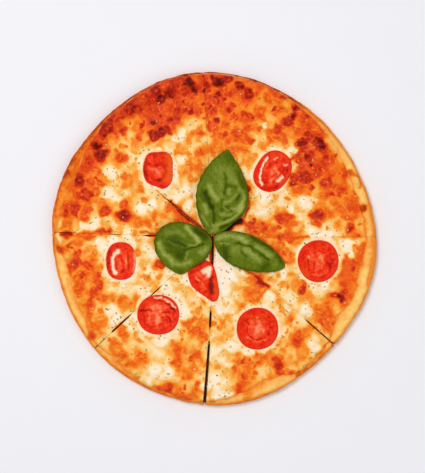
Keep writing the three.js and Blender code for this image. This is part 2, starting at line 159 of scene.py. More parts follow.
# Tomato slices: centre, half axes, turn and squareness as in the solids, and bends of the outline
# [direction from the slice's first axis, share]. A tone is how light the pulp is, where that isn't usual.
# Then marks in mm from the centre, [width, amount, places]:
# pulp that is lighter or darker, cream cheese that has run in, and flesh that has gone orange.
TOMATOES = {
    "upper_left": {
        "at": (-47.6, 59.1), "half": (13.8, 16.2), "turn": 0, "square": 0.05, "tone": 0.42,
        "outline": [(0, 0.97), (25, 1.01), (45, 1.06), (60, 1.06), (90, 0.99), (124, 1), (150, 0.93), (180, 0.97),
                    (236, 0.87), (262, 0.92), (287, 1.07), (315, 1.02)],
        "pulp": [(1.8, 0.34, [(-6, 0.6), (-3.6, 0)]), (1.8, 0.3, [(0.6, -0.6), (2.4, -4)]),
                 (1.4, 0.24, [(-7.6, 8), (-5, 10.6)]), (1.7, -0.27, [(1.4, 6), (5.4, 3.6), (7.4, -0.6)]),
                 (1.3, -0.2, [(-7.6, 4.6), (-2, 3.4), (1, 4)]), (1.2, -0.26, [(7, -2), (4.4, -5.4), (3.4, -9)]),
                 (0.7, -0.36, [(-2.6, -8.6), (2, -8.4)]), (1, -0.35, [(-9.6, -4), (-8.6, -8)]),
                 (0.9, 0.4, [(-7.4, -7.6), (-4.6, -9.4)]), (1.2, 0.16, [(0.6, 12), (3, 8)]),
                 (0.8, -0.25, [(-12, 3), (-11, -3)]), (1.2, 0.2, [(5, -12), (3.4, -7)])],
        "cream": [(1.0, 0.3, [(12.5, 13), (14, 6)])],
        "orange": [(4.2, 1.25, [(11, 13), (12, 5), (10.4, -8)])]},
    "upper_right": {
        "at": (50.7, 57.9), "half": (18.9, 15), "turn": 56.7, "square": 0.02, "outline": [(0, 1)],
        "pulp": [(0.7, -0.35, [(-8, 6), (-8.6, 0), (-8.7, -6), (-6.5, -9.6)]), (3, 0.22, [(1.7, 0.5)]),
                 (1.2, -0.25, [(-6, -3), (-5, -8)]), (1.1, -0.35, [(-4, 2.6), (-1, 6.5), (3, 8)]),
                 (1.1, -0.38, [(5.6, 1.4), (9, -1), (10, 2.4)]), (0.8, -0.3, [(-1, -4.6), (2.4, -2.4)]),
                 (0.9, 0.25, [(-2, -10), (0, -6.4)]), (1.2, -0.3, [(-11, -15), (-4, -16), (3, -13)]),
                 (0.6, -0.3, [(11, -3), (13.4, 3)])],
        "cream": [(0.85, 1, [(-4.3, 11.6), (-7.8, 7), (-9.7, 2), (-10.9, -5), (-10.4, -9.3), (-8.4, -11.6)]),
                  (1.5, 0.9, [(4.4, -8.2), (8, -5.2)]), (1.3, 0.5, [(10.3, 5), (11.8, 5.8)]),
                  (0.9, 0.45, [(1.6, 10.4), (4, 11.4)])],
        "orange": [(3, 0.35, [(0, 14), (8, 13)])]},
    "left": {
        "at": (-79.1, -18.9), "half": (13.1, 16.7), "turn": 0, "square": 0.03, "outline": [(0, 1)],
        "pulp": [(0.6, -0.35, [(-4.2, 5), (-5.2, 0), (-4, -6.4)]), (0.6, 0.25, [(4, 8), (4.5, -6)]),
                 (0.6, -0.28, [(6, 7), (6.5, -8)]), (0.6, 0.25, [(8.5, 6), (8.5, -6)]),
                 (1.5, -0.3, [(-9, 11.4), (-12, 3), (-11.4, -6), (-7.6, -13)]), (0.7, -0.3, [(1, 4), (2, -9)])],
        "cream": [(1.35, 1, [(-2.2, 8.8), (-5.4, 6), (-7, 2), (-7.2, -2), (-6.4, -7), (-4.7, -10.4)]),
                  (1.8, 0.9, [(-2.6, 8.2)]), (1.8, 0.9, [(-4.9, -9.8)]),
                  (2.2, 0.4, [(12.6, 7), (13.4, 0), (12, -8)])],
        "orange": [(3, 0.35, [(9, 8), (11, -6)])]},
    "lower_left": {
        "at": (-47.1, -64.9), "half": (18.2, 17.2), "turn": 0, "square": 0.01, "outline": [(0, 1)],
        "pulp": [(0.7, -0.5, [(-15.5, 3.4), (-10.5, 3.9), (-6, 3.4)]),
                 (0.5, -0.5, [(-1, 12.6), (2.4, 12), (4, 11)]), (0.6, -0.6, [(6.6, 10), (8.6, 8.6)]),
                 (0.6, -0.6, [(10.6, 6.8), (14.2, 3.5)]), (0.5, -0.45, [(3.4, 1.7), (9.5, 2.4)]),
                 (0.6, -0.45, [(3.2, -2.4), (7, -1.9), (9.5, -3.4), (10.5, -6.4)]),
                 (0.5, -0.35, [(4.4, -4.3), (7, -4.6), (8, -7.4)]),
                 (1.6, 0.26, [(-9.5, 6.4), (0, 7.4), (7, 6.6)]), (2.4, 0.28, [(-1, 4), (-0.4, -4)]),
                 (0.8, 0.25, [(-0.5, -5), (-0.5, -11.5)]), (0.9, 0.22, [(-7, 0), (-8.4, -5), (-6, -8)]),
                 (0.6, -0.25, [(-13, 0), (-11.6, -7), (-7, -11.4)])],
        "cream": [(0.9, 0.75, [(-3.6, 14.8), (3, 14.4)]), (1.0, 0.8, [(5.6, 13.2), (9.5, 11)]),
                  (0.9, 0.75, [(11.4, 9.6), (14.4, 5.8)])],
        "orange": [(3, 0.3, [(-6, 10), (4, 9)])]},
    "lower_right": {
        "at": (37.8, -76.8), "half": (18, 18.2), "turn": 0, "square": 0.01, "outline": [(0, 1)],
        "pulp": [(0.5, -0.4, [(-7.8, 3.2), (-10, 6.5), (-7, 9), (-2, 8)]), (0.9, -0.4, [(8.5, -4.7)]),
                 (0.6, -0.38, [(-7.6, 3.1), (-9.5, -0.5), (-8, -5), (-4, -8.3)]), (3.4, 0.16, [(0, 1)]),
                 (0.5, -0.35, [(5, 8.4), (9.5, 6.5), (11.5, 1), (9.5, -4)]),
                 (0.5, -0.3, [(-3, -9.5), (2, -10), (7, -7.5)]), (1.6, 0.16, [(0, 1), (1, 6)]),
                 (1.6, 0.14, [(0, 0), (-3, -5)]), (1.6, 0.14, [(1, 0), (5, -3)]),
                 (0.5, 0.4, [(-7.6, -7.6), (-4, -10.3), (-0.5, -11.2), (6.7, -9.4)]),
                 (0.5, -0.45, [(-3.8, 9.3), (-2, 8.9)]), (0.5, -0.45, [(1.2, 8.4), (2.8, 9)]),
                 (0.5, -0.45, [(5.4, 8.8), (6.8, 9.4)])],
        "cream": [(0.7, 0.45, [(-8.4, -8.2)]), (0.5, 0.3, [(-1, 9.6), (0.4, 9.4)])],
        "orange": [(2.6, 0.5, [(-4, 8.6), (5, 8.8)])]},
    "right": {
        "at": (89.7, -18.9), "half": (17.8, 18.2), "turn": 0, "square": 0.01,
        "outline": [(0, 1), (60, 1.01), (120, 0.97), (180, 1), (215, 0.96), (270, 1.01), (325, 0.97)],
        "pulp": [(0.55, -0.6, [(-8.5, 1.3), (-8.3, -0.6)]), (0.55, -0.6, [(-8.3, -2.6), (-8, -4)]),
                 (0.55, -0.55, [(-7.9, -5.8), (-7.4, -8)]), (0.5, -0.4, [(-3.6, -2), (-3.1, -6.4)]),
                 (2.0, -0.38, [(7.5, -1), (9.2, -2.6)]), (0.5, -0.3, [(-5, 6.5), (0, 9), (6, 7)]),
                 # The lighter spot at (-8.5, 3.9) is a painted highlight on the wet flesh.
                 (2.4, 0.24, [(1.7, 3.1)]), (0.9, 0.5, [(-8.5, 3.9)]), (0.7, 0.2, [(3, -6), (4, 6)]),
                 (0.6, -0.28, [(10, 6), (12, 0), (10, -8)]), (0.6, 0.22, [(-6, -11), (0, -12.6), (6, -11)])],
        "cream": [], "orange": [(3, 0.5, [(-14, -8), (-10, -13)]), (2.4, 0.3, [(2, 0)])]},
    "middle": {
        "at": (-8, -36.4), "half": (13, 19.5), "turn": 20, "square": 0.03,
        "outline": [(0, 0.93), (14, 0.98), (30, 1.05), (60, 1), (90, 1), (120, 1), (150, 0.97), (180, 0.9),
                    (194, 0.78), (209, 0.68), (229, 0.64), (250, 0.7), (275, 1.0), (290, 1.06), (311, 0.96),
                    (331, 0.88), (346, 0.88)],
        # Its first two marks, along the knife cut, are painted shade in the opened cut.
        "pulp": [(1.2, -0.6, [(5.4, 3.4), (6, -2), (7.4, -9.6)]), (1.7, -0.5, [(4.6, -2), (6.6, -9)]),
                 (0.7, -0.4, [(-9, 3), (-5, -2)]), (0.6, -0.35, [(-6, 5), (-1, 0), (3, -6)]),
                 (0.7, 0.3, [(-8, 6), (-4, 1)]), (0.7, 0.25, [(-3, 6), (0, 2)]),
                 (0.8, -0.3, [(-11, 8), (-5, 10)])],
        "cream": [(2, 1, [(-0.4, 8.6), (4.4, 11)]), (2, 1, [(3.8, 5.4), (4.4, 10)])],
        "orange": [(2, 0.5, [(9.5, 0), (10.4, -14)])]},
}
# Tomato slices that a knife cut divides: number of the cut, and the pizza slices on its two sides.
DIVIDED_TOMATOES = {"upper_right": (1, 1, 2), "middle": (6, 6, 7)}

# Basil leaves, as in the solids. A nip is where along the leaf, over what reach and by what share the
# right-hand edge is drawn in near the base. Their folds are [width, height and lightness, places] in mm over the
# pizza: ridges that catch the light, with painted highlights, and creases between them where the amount is
# negative, with painted shade.
LEAVES = {
    "top": {
        "base": (-2.1, 3.8), "bend": (12.4, 43.5), "tip": (13, 76.5), "left": (22.7, 0.46, 0.7),
        "right": (22.7, 0.38, 1), "nip": (0.16, 0.09, 0.16), "rest": 10.8, "rise": 6, "puff": 3, "ripple": 0.8,
        "folds": [
            (7, 0.22, [(9, 58), (14, 53)]), (2, 0.42, [(-3.6, 45), (-0.7, 38.4), (3.1, 33.8)]),
            (1.7, 0.42, [(-8, 29), (-5.7, 22.6)]), (1.8, 0.2, [(-12.2, 48), (-13.4, 35)]),
            (2.6, 0.14, [(6.4, 47), (6.9, 34)]), (1.2, 0.32, [(8.5, 30.5), (14, 32.2), (20.4, 37.6)]),
            (1.1, 0.34, [(8, 27.4), (13.6, 24.8), (20.6, 26.4), (24.6, 31)]),
            (1.5, 0.3, [(6.4, 21), (15.1, 20.7), (22.4, 25.4), (26.2, 33)]),
            (1.7, 0.42, [(0.3, 11.4), (6, 12.6), (12, 14.6), (19.4, 19.6), (25.4, 26.4)]),
            (1.2, 0.3, [(-1.3, 6.4), (4, 9)]), (1.8, 0.26, [(19, 48.4), (24.8, 40), (26.8, 35)]),
            (1.1, 0.35, [(13.2, 42), (13.2, 38.5)]), (0.9, 0.25, [(-9.4, 20), (-5, 12)]),
            (1.5, -0.55, [(-7, 39.8), (-4.6, 34), (-1.2, 27)]), (1.0, -0.42, [(-1.2, 27), (1, 20), (0.6, 13)]),
            (1.1, -0.4, [(9.6, 56), (10.9, 49.9), (9.4, 38)]), (1.4, -0.3, [(13, 45.6), (19.5, 44.8)]),
            (1.1, -0.35, [(20.2, 33.4), (22.4, 37.6)]), (1, -0.4, [(10.2, 27.8), (16.4, 23)]),
            (0.9, -0.38, [(9.6, 16.4), (14.6, 18.4), (20, 22.6)]), (6, -0.2, [(14, 68.5)]),
            (1.7, -0.3, [(20.6, 57), (25.4, 44)]), (1.2, -0.42, [(6.4, 9.4), (18.8, 14.8), (25.4, 21)]),
            (2.2, -0.16, [(-10.4, 43), (-9.4, 33)]), (1, -0.3, [(7.4, 33.6), (7.2, 22.6)])]},
    "left": {
        "base": (-2.4, 0.9), "bend": (-30.7, -1.8), "tip": (-29.2, -30.2), "left": (17.9, 0.43, 0.63),
        "right": (28.2, 0.58, 0.45), "nip": (0.05, 0.05, -0.14),
        "rest": 10.8, "rise": 5, "puff": 2.5, "ripple": 0.7,
        "folds": [
            (1.7, 0.6, [(-22.8, 10), (-17.1, 4.4), (-12.6, -1.8)]),
            (1.8, 0.26, [(-40, 4.6), (-31, 6.4), (-25, 3)]),
            (1.9, 0.46, [(-46.4, -4), (-42.6, -11.8), (-36, -17.6)]),
            (2, 0.4, [(-34.4, -20.8), (-27.6, -22.2), (-20, -19.6)]),
            (1.1, 0.26, [(-23.6, -16.4), (-21.8, -10)]), (2.6, 0.36, [(-9.8, -11.4), (-6.4, -8.8)]),
            (1, 0.3, [(-19.8, -6), (-14, -4.4)]), (7.5, -0.3, [(-34.2, -3)]), (4, -0.34, [(-28, -14.8)]),
            (0.9, -0.35, [(-25, -9.4), (-18.7, -7.8), (-7.8, -4.6)]), (2.6, -0.4, [(-14.4, 7.4), (-7.4, 2.2)]),
            (0.8, -0.3, [(-30, -3), (-24, -5.6)]), (0.9, 0.2, [(-38, -2), (-30, -7)]), (3, -0.2, [(-29, -28)])]},
    "right": {
        "base": (1.3, 2.0), "bend": (33, -3.2), "tip": (61, -24.1), "left": (9.6, 0.46, 0.5),
        "right": (20.5, 0.44, 0.62), "rest": 10.8, "rise": 5, "puff": 2.5, "ripple": 0.7,
        "folds": [
            (2, 0.42, [(3.4, 0.6), (13.9, 3.2), (21.7, 1.4)]), (2.2, 0.45, [(24.6, -0.2), (27.6, -2.4)]),
            (2, 0.4, [(37.2, -7), (41.9, -10), (48.4, -14.6)]),
            (2.8, 0.38, [(28, -9), (35.4, -14.8), (40, -19)]), (3.6, 0.26, [(17.8, -9.6)]),
            (0.8, 0.34, [(6, -4.4), (10.6, -3.6)]), (0.7, 0.3, [(10, -6), (13.4, -4)]),
            (0.8, -0.42, [(20, -3.8), (26, -5), (31.8, -6.4), (40.3, -12.4), (47, -17.4)]),
            (3.2, -0.36, [(9.8, -8), (11, -15)]), (4, -0.32, [(43.4, -23)]), (1.4, -0.3, [(33, 1), (51, -9)]),
            (0.8, -0.3, [(24, -10.4), (27.6, -15)]), (0.7, -0.28, [(33, -9.6), (40, -14.6)]),
            (1.6, -0.25, [(55, -14), (58, -20)]), (2.6, 0.14, [(53, -21)])]},
}

# ---------------------------------------------------------------- finish over the solids

# Insets between which the dents of the rim are at their full size.
DENTS_FROM = 2.5
DENTS_TO = 12
# Insets and heights between which the lumps of the outer side grow to their full size.
SIDE_LUMPS = {"inset": (9, 4), "height": (0.2, 2.5)}
# Heights between which the crust's side passes into its crown, and into its underside.
CROWN_ZONE = (6, 9.5)
UNDERSIDE_ZONE = (3.2, 0.6)
# The cheese swells a little round each tomato slice, and dips under it.
COLLAR = {"rise": 0.5, "away": 1.2, "width": 1.8}
POCKET_EDGE = (-0.3, -1.2)
POCKET_DROP = 0.25
# It dips along an open cut too, by a share of its half gap and by this much at most.
WORN_EDGE = {"share": 1.3, "most": 0.9, "width": 1.1}
# Upper side of a tomato slice: [share of the radius, share of the thickness].
TOMATO_PROFILE = [(0, 0.87), (0.2, 0.86), (0.48, 0.82), (0.82, 0.9), (0.95, 1), (0.985, 0.93), (1, 0.6)]
USUAL_TONE = 0.52
# A leaf keeps this share of its thickness at its edge, and its underside is this much paler.
LEAF_EDGE_SHARE = 0.35
LEAF_BACK_PALER = 0.15
# Share by which a knife leaves the dough's cuts narrower at the bottom.
CUT_CLOSING = 0.98
# Least distance of herb flakes from a tomato slice and from the edge of the topping.
HERB_CLEARANCE = {"tomato": 1, "edge": 2}
# Nets of points: [rows from the rim to the tip, columns, how much the rows crowd at the rim].
DOUGH_NET = (92, 120, 1.45)
SAUCE_NET = (60, 100, 1.6)
TOMATO_NET = {"columns": 190, "rings": 56}
LEAF_NET = {"stations": 130, "lanes": 76}

# ---------------------------------------------------------------- stage

FLOOR_HALF = 4000
FLOOR_DROP = 0.3
ROOM_TINT = (0.97, 0.98, 1.0, 1)
# Large window-like light from the left and far side, and a weaker one across from it:
# [name, place, width, share of the key light's power].
LIGHTS = [
    ("key_light", (-360, 330, 1420), 500, 1),
    ("fill_light", (800, -600, 1300), 1200, 0.35),
]
CAMERA_PLACE = (-0.7, 2.1)
SENSOR_WIDTH = 36

# ---------------------------------------------------------------- how the top is baked

# The bake runs from 0, white milk cheese, over 0.3, pale yellow, 0.5, orange-gold, 0.65, red-orange,
# and 0.8, red-brown, to 1, charred. Regions: [x, y, radius, bake].
BAKE_REGIONS = [
    (-62, 120, 18, 0.74), (-32, 124, 18, 0.74), (-2, 122, 16, 0.66), (24, 118, 18, 0.62), (55, 112, 16, 0.56),
    (80, 95, 13, 0.66), (-92, 98, 14, 0.68), (105, 66, 14, 0.63), (96, 45, 12, 0.6), (110, 28, 10, 0.56),
    (-24, 116, 9, 0.57), (-103, 66, 9, 0.67), (-112, 44, 12, 0.65), (-96, 52, 7, 0.54), (-118, 22, 9, 0.56),
    (-72, 99, 8, 0.46), (-70, 84, 9, 0.38), (-85, 82, 7, 0.46), (-86, 60, 10, 0.27), (-60, 76, 8, 0.28),
    (-66, 50, 8, 0.34), (-25, 80, 9, 0.42), (-13, 96, 8, 0.35), (-20, 58, 6, 0.45), (-12, 68, 6, 0.42),
    (-46, 36, 12, 0.24), (-80, 36, 10, 0.27), (-96, 36, 7, 0.36), (-30, 42, 9, 0.26), (-33, 18, 9, 0.5),
    (0, 100, 10, 0.52), (12, 90, 12, 0.52), (30, 92, 10, 0.5), (46, 104, 12, 0.52), (20, 76, 8, 0.44),
    (38, 88, 6, 0.34), (44, 96, 6, 0.28), (70, 92, 8, 0.52), (66, 78, 6, 0.34), (76, 66, 8, 0.68),
    (72, 52, 10, 0.7), (90, 60, 8, 0.74), (34, 58, 6, 0.3), (34, 42, 8, 0.32), (52, 34, 12, 0.3),
    (72, 32, 12, 0.3), (88, 32, 9, 0.34), (42, 7, 8, 0.54), (44, 20, 6, 0.2), (62, 8, 9, 0.52),
    (76, 8, 6, 0.36), (90, 6, 9, 0.18), (103, 14, 9, 0.42), (117, 8, 7, 0.5), (110, -6, 7, 0.2),
    (114, -27, 11, 0.635), (-88, 12, 10, 0.34), (-100, 6, 8, 0.42), (-66, 8, 8, 0.42), (-54, 14, 8, 0.46),
    (-62, -4, 7, 0.3), (-98, -6, 8, 0.22), (-114, -22, 12, 0.54), (-106, -42, 13, 0.54), (-98, -58, 10, 0.5),
    (-103, -74, 8, 0.44), (-60, -18, 8, 0.3), (-50, -34, 9, 0.28), (-76, -42, 8, 0.25), (-88, -38, 6, 0.26),
    (-84, -62, 10, 0.26), (-74, -54, 8, 0.46), (-70, -72, 8, 0.24), (-86, -84, 10, 0.44), (-70, -92, 9, 0.4),
    (-60, -84, 8, 0.34), (-78, -102, 9, 0.46), (-60, -102, 8, 0.46), (-48, -100, 8, 0.2), (-44, -116, 11, 0.18),
    (-60, -116, 7, 0.24), (-40, -128, 9, 0.54), (-24, -130, 9, 0.5), (-22, -106, 12, 0.53), (-14, -90, 8, 0.46),
    (-12, -118, 8, 0.42), (-16, -74, 8, 0.48), (-24, -54, 8, 0.24), (-12, -62, 7, 0.36), (10, -30, 12, 0.06),
    (12, -56, 10, 0.24), (8, -74, 8, 0.42), (8, -92, 9, 0.26), (4, -110, 9, 0.17), (6, -124, 9, 0.2),
    (30, -112, 12, 0.57), (26, -124, 7, 0.56), (44, -112, 7, 0.4), (20, -96, 7, 0.36), (56, -96, 7, 0.42),
    (68, -106, 9, 0.47), (58, -110, 7, 0.52), (84, -106, 8, 0.5), (70, -88, 9, 0.52), (60, -80, 7, 0.34),
    (86, -92, 8, 0.26), (84, -78, 7, 0.42), (96, -72, 10, 0.5), (92, -60, 8, 0.5), (78, -62, 7, 0.2),
    (66, -54, 8, 0.32), (56, -50, 7, 0.3), (35, -40, 7, 0.56), (25, -42, 5, 0.36), (26, -54, 8, 0.4),
    (46, -46, 6, 0.22), (64, -34, 7, 0.36), (78, -44, 7, 0.4), (88, -46, 6, 0.3), (98, -40, 6, 0.26),
    (106, -46, 8, 0.62), (56, -4, 7, 0.5), (66, -6, 5, 0.48), (66, -20, 6, 0.46),
]
REGION_BACKGROUND = 0.32
# Cheese stays pale round the tomato slices, which keep it wet.
MILK_RING = {"reach": (4.6, 1.4), "share": 0.8}
MILK_BAKE = 0.09
MOTTLE_TRIES = 1200
# Radii at which the edge of a spot starts and ends, and shares by which the ring round it is browned too.
SPOT_EDGE = (1.22, 0.62)
MOTTLE_HALO = 0.3
SPOT_HALO = 0.8
RIM_HALO = 0.7

# Browned spots and blisters: [x, y, radius, bake].
BROWNED_SPOTS = [
    # slice 3 and 4, upper left
    (-91.8, 93.4, 6.3, 0.86), (-76.8, 92.3, 4.3, 0.73), (-64, 87, 3.7, 0.64), (-51, 88.5, 5.2, 0.85),
    (-45, 91, 4.4, 0.86), (-39, 93.6, 4, 0.8), (-71.4, 111.6, 5.6, 0.84), (-78, 106, 4, 0.74),
    (-100, 79, 4.2, 0.86), (-96, 72, 6.2, 0.84), (-106, 65.5, 4, 0.74), (-79, 69.5, 5.2, 0.7),
    (-82, 75, 2.2, 0.64), (-115.3, 50.5, 5.6, 0.8), (-105.7, 48.4, 4.5, 0.68), (-96, 47.3, 3.6, 0.7),
    (-110, 37.7, 6, 0.77), (-100, 40, 4.5, 0.66), (-73.6, 48.4, 5, 0.56), (-77, 53, 3, 0.6),
    (-62.9, 42, 3.1, 0.6), (-30.7, 107, 4.8, 0.79), (-56.4, 132, 3.6, 0.97), (-49, 127, 4.6, 0.86),
    (-44.7, 119, 3.8, 0.9), (-38, 125, 5.6, 0.8), (-20, 134, 4.4, 0.9), (-24, 127, 4, 0.8),
    (-62, 121, 5, 0.76), (-84, 103, 5, 0.74), (-54, 111, 4.5, 0.7), (-10.4, 74, 4.4, 0.6),
    (-19, 61, 3.4, 0.54), (-22, 66, 2.6, 0.52), (-24, 57, 2.2, 0.55), (-67, 74, 2.4, 0.46),
    (-118.6, 25.9, 4.6, 0.79), (-92.9, 23.8, 5.6, 0.76), (-76.8, 20.5, 6.2, 0.8), (-76, 29, 4.4, 0.68),
    (-110, 17.3, 3.2, 0.62), (-65, 15.5, 4.6, 0.58), (-56, 13, 3.6, 0.57), (-38, 26, 3, 0.62),
    (-30, 17, 3.6, 0.6), (-59, 34, 2.6, 0.56),
    # slice 2 and 1, upper right
    (4.7, 134, 5.2, 0.9), (12, 138, 4, 0.82), (22.9, 131, 4, 0.86), (30.4, 124.5, 4.8, 0.85), (1.5, 119, 4.4, 0.74),
    (9, 125.5, 4.2, 0.68), (15.4, 113.7, 2.8, 0.72), (7.9, 113.7, 1.8, 0.72), (0, 109, 4, 0.7),
    (26.5, 107, 3.6, 0.76), (31.5, 105.6, 3.4, 0.76), (19.7, 103.6, 2.4, 0.7), (11, 98.7, 3.1, 0.63),
    (36.8, 111.6, 2.6, 0.6), (42, 109.5, 2.6, 0.62), (35.7, 96.6, 2.6, 0.56), (6.8, 89, 3.8, 0.63),
    (19, 90.5, 5, 0.66), (26, 86.5, 5, 0.66), (32, 84.5, 3.4, 0.69), (4.7, 79.5, 4, 0.59), (12, 80.5, 2.8, 0.58),
    (47.5, 91.3, 3.6, 0.57), (60.4, 84.8, 4.6, 0.6), (56, 95.5, 3.2, 0.73), (63.6, 99.8, 4.6, 0.8),
    (67.9, 105.2, 4.2, 0.8), (71, 112.7, 3.6, 0.8), (79.6, 97.7, 4.6, 0.71), (56, 119, 4.6, 0.6),
    (46, 121, 3, 0.66), (76.4, 82.7, 5, 0.81), (91, 80, 7.4, 0.82), (92, 81, 4.6, 0.94),
    (82.9, 71, 5, 0.76), (96.8, 69.8, 3.6, 0.73),
    (87, 62, 4.8, 0.73), (72, 70, 2.6, 0.68), (70, 53.8, 4.4, 0.79), (78.6, 52.7, 6, 0.81),
    (96.8, 48.4, 5.4, 0.75), (109.6, 42, 5, 0.66), (72, 43, 4.6, 0.64), (30.4, 43, 2.3, 0.8),
    (52.9, 35.6, 2.4, 0.46), (57, 18, 4.6, 0.7), (63.4, 18.6, 4.8, 0.71), (89.3, 20.5, 6, 0.75),
    (89, 14.6, 5, 0.62),
    (108.6, 27, 4.6, 0.62), (117, 30, 3, 0.67), (117, 9.9, 4.2, 0.72), (115, 18.5, 3.2, 0.62),
    (103.2, 32.4, 3.6, 0.6), (32.5, 14.2, 3, 0.76), (43.2, 9.9, 4, 0.68), (36, 7, 4, 0.6),
    (126, 40, 3, 0.6), (98, 97, 2.4, 0.6),
    # slice 5 and 6, lower left
    (-125, 3.6, 3.6, 0.72), (-112, 4.4, 3, 0.6), (-105.7, 2.3, 3.8, 0.62), (-97, 6, 3, 0.6), (-89, 7.4, 3, 0.62),
    (-130.4, -9.4, 3.6, 0.72), (-117.5, -12.7, 3.8, 0.68), (-117, -20.2, 4.6, 0.73), (-106.8, -23.4, 4.4, 0.72),
    (-102.5, -12.7, 3.2, 0.56), (-113.2, -32, 4.4, 0.64), (-97.2, -39.4, 3.6, 0.74), (-102.5, -45.9, 4.4, 0.69),
    (-114.3, -42.6, 3.2, 0.66), (-105.7, -65.2, 3.4, 0.62), (-97, -66, 2.4, 0.53), (-64, -11.6, 3.2, 0.58),
    (-45.8, -22.3, 4.2, 0.76), (-58.6, -25.5, 1.9, 0.52), (-56.5, -33, 3.2, 0.52), (-32.9, -34, 3, 0.47),
    (-77.9, -51.2, 4.4, 0.59), (-67, -52.3, 2.6, 0.53), (-104.7, -81.8, 4.2, 0.6), (-78, -80.9, 4, 0.63),
    (-78, -76, 3, 0.58), (-66.6, -79.9, 1.8, 0.5), (-63.7, -87.5, 2.4, 0.52), (-79, -99.9, 5, 0.6),
    (-86, -101, 3.2, 0.54), (-60.9, -103, 5.6, 0.57), (-66.6, -119, 3.4, 0.5), (-38, -128.5, 5.2, 0.74),
    (-28.5, -131.3, 4, 0.64), (-45.7, -129, 3.6, 0.62), (-31.4, -105.6, 4.2, 0.62), (-14.2, -98.9, 4.2, 0.64),
    (-32.3, -91.3, 4, 0.54), (-14, -79, 4.4, 0.66), (-8.5, -82.5, 3.4, 0.6), (-19, -76, 3, 0.58),
    (-24.7, -118, 3.2, 0.53), (-18, -63, 2.2, 0.45),
    # slice 7 and 8, lower right
    (40, -37, 3.4, 0.8), (33.6, -46, 5, 0.56), (24, -57.6, 3.4, 0.52),
    (9, -72.6, 3, 0.53), (56.1, -53.3, 2.8, 0.52), (75.4, -43.7, 3.8, 0.73), (59.3, -38.4, 3, 0.5),
    (65.7, -68.3, 3, 0.63), (59.3, -62, 2, 0.5), (108.6, -50, 4.6, 0.82), (112, -45.5, 3.6, 0.75),
    (103, -48.5, 3.4, 0.74), (110.7, -39, 2.6, 0.7), (90.4, -60.9, 5.6, 0.56),
    (97.9, -68, 4.4, 0.58), (97.9, -76, 3, 0.62), (71, -88, 5, 0.68), (78.6, -97.3, 3.6, 0.52),
    (52.9, -102.6, 2.8, 0.73), (56.1, -108, 4.4, 0.77), (57.2, -113.3, 3.4, 0.73), (30.4, -107, 5, 0.54),
    (25, -119.7, 4, 0.57), (37.9, -107, 2.6, 0.63), (18.6, -103.7, 2.6, 0.52), (3.6, -109, 2.6, 0.5),
    (81.8, -110, 3, 0.62), (89.3, -105.8, 3.2, 0.66), (74.3, -116.5, 2.8, 0.66), (98, -92, 3, 0.68),
    (65.7, 0, 3.4, 0.68), (58, -5, 3.6, 0.62), (126.3, -7, 3.2, 0.64), (126, -13, 3, 0.62), (72, 2, 3, 0.6),
]

# Pools of milk cheese that stayed white: [x, y, radius].
MILK_POOLS = [
    (-62, 25, 5.5), (-54, 29, 4.5), (-101, 13, 5), (-110, 11, 4), (-27, 89, 4.5), (-33, 86, 3), (-28, 68, 4.5),
    (-22, 28, 4.5), (-34, 33, 4), (-94, 40, 5), (-88, 56, 5), (44, 34, 4.5), (78, 31, 5), (66, 26, 3.5),
    (87, 5, 6), (97, 3, 4), (43, 97, 2.4), (68, 76, 3.4), (-40, -42, 6), (-97, -5, 5.5), (-90, -9, 4.5),
    (-88, -62, 5), (-84, -70, 5), (-24, -64, 5), (-45, -88, 5.5), (-50, -112, 5), (-38, -115, 4),
    (12, -24, 6), (9, -34, 6.5), (10, -44, 5), (79, -61, 4.6), (47, -49, 5), (1, -120, 5), (4, -132, 5),
    (15, -92, 5), (86, -92, 4.6), (114, -7, 5), (118, -13, 3), (116, -3, 3.4), (-74, 2, 5), (-86, -1, 4.5),
    (95, -38, 3.6), (6, -60, 4), (60, -30, 3), (30, -97, 4.5), (-7, -126, 4),
]
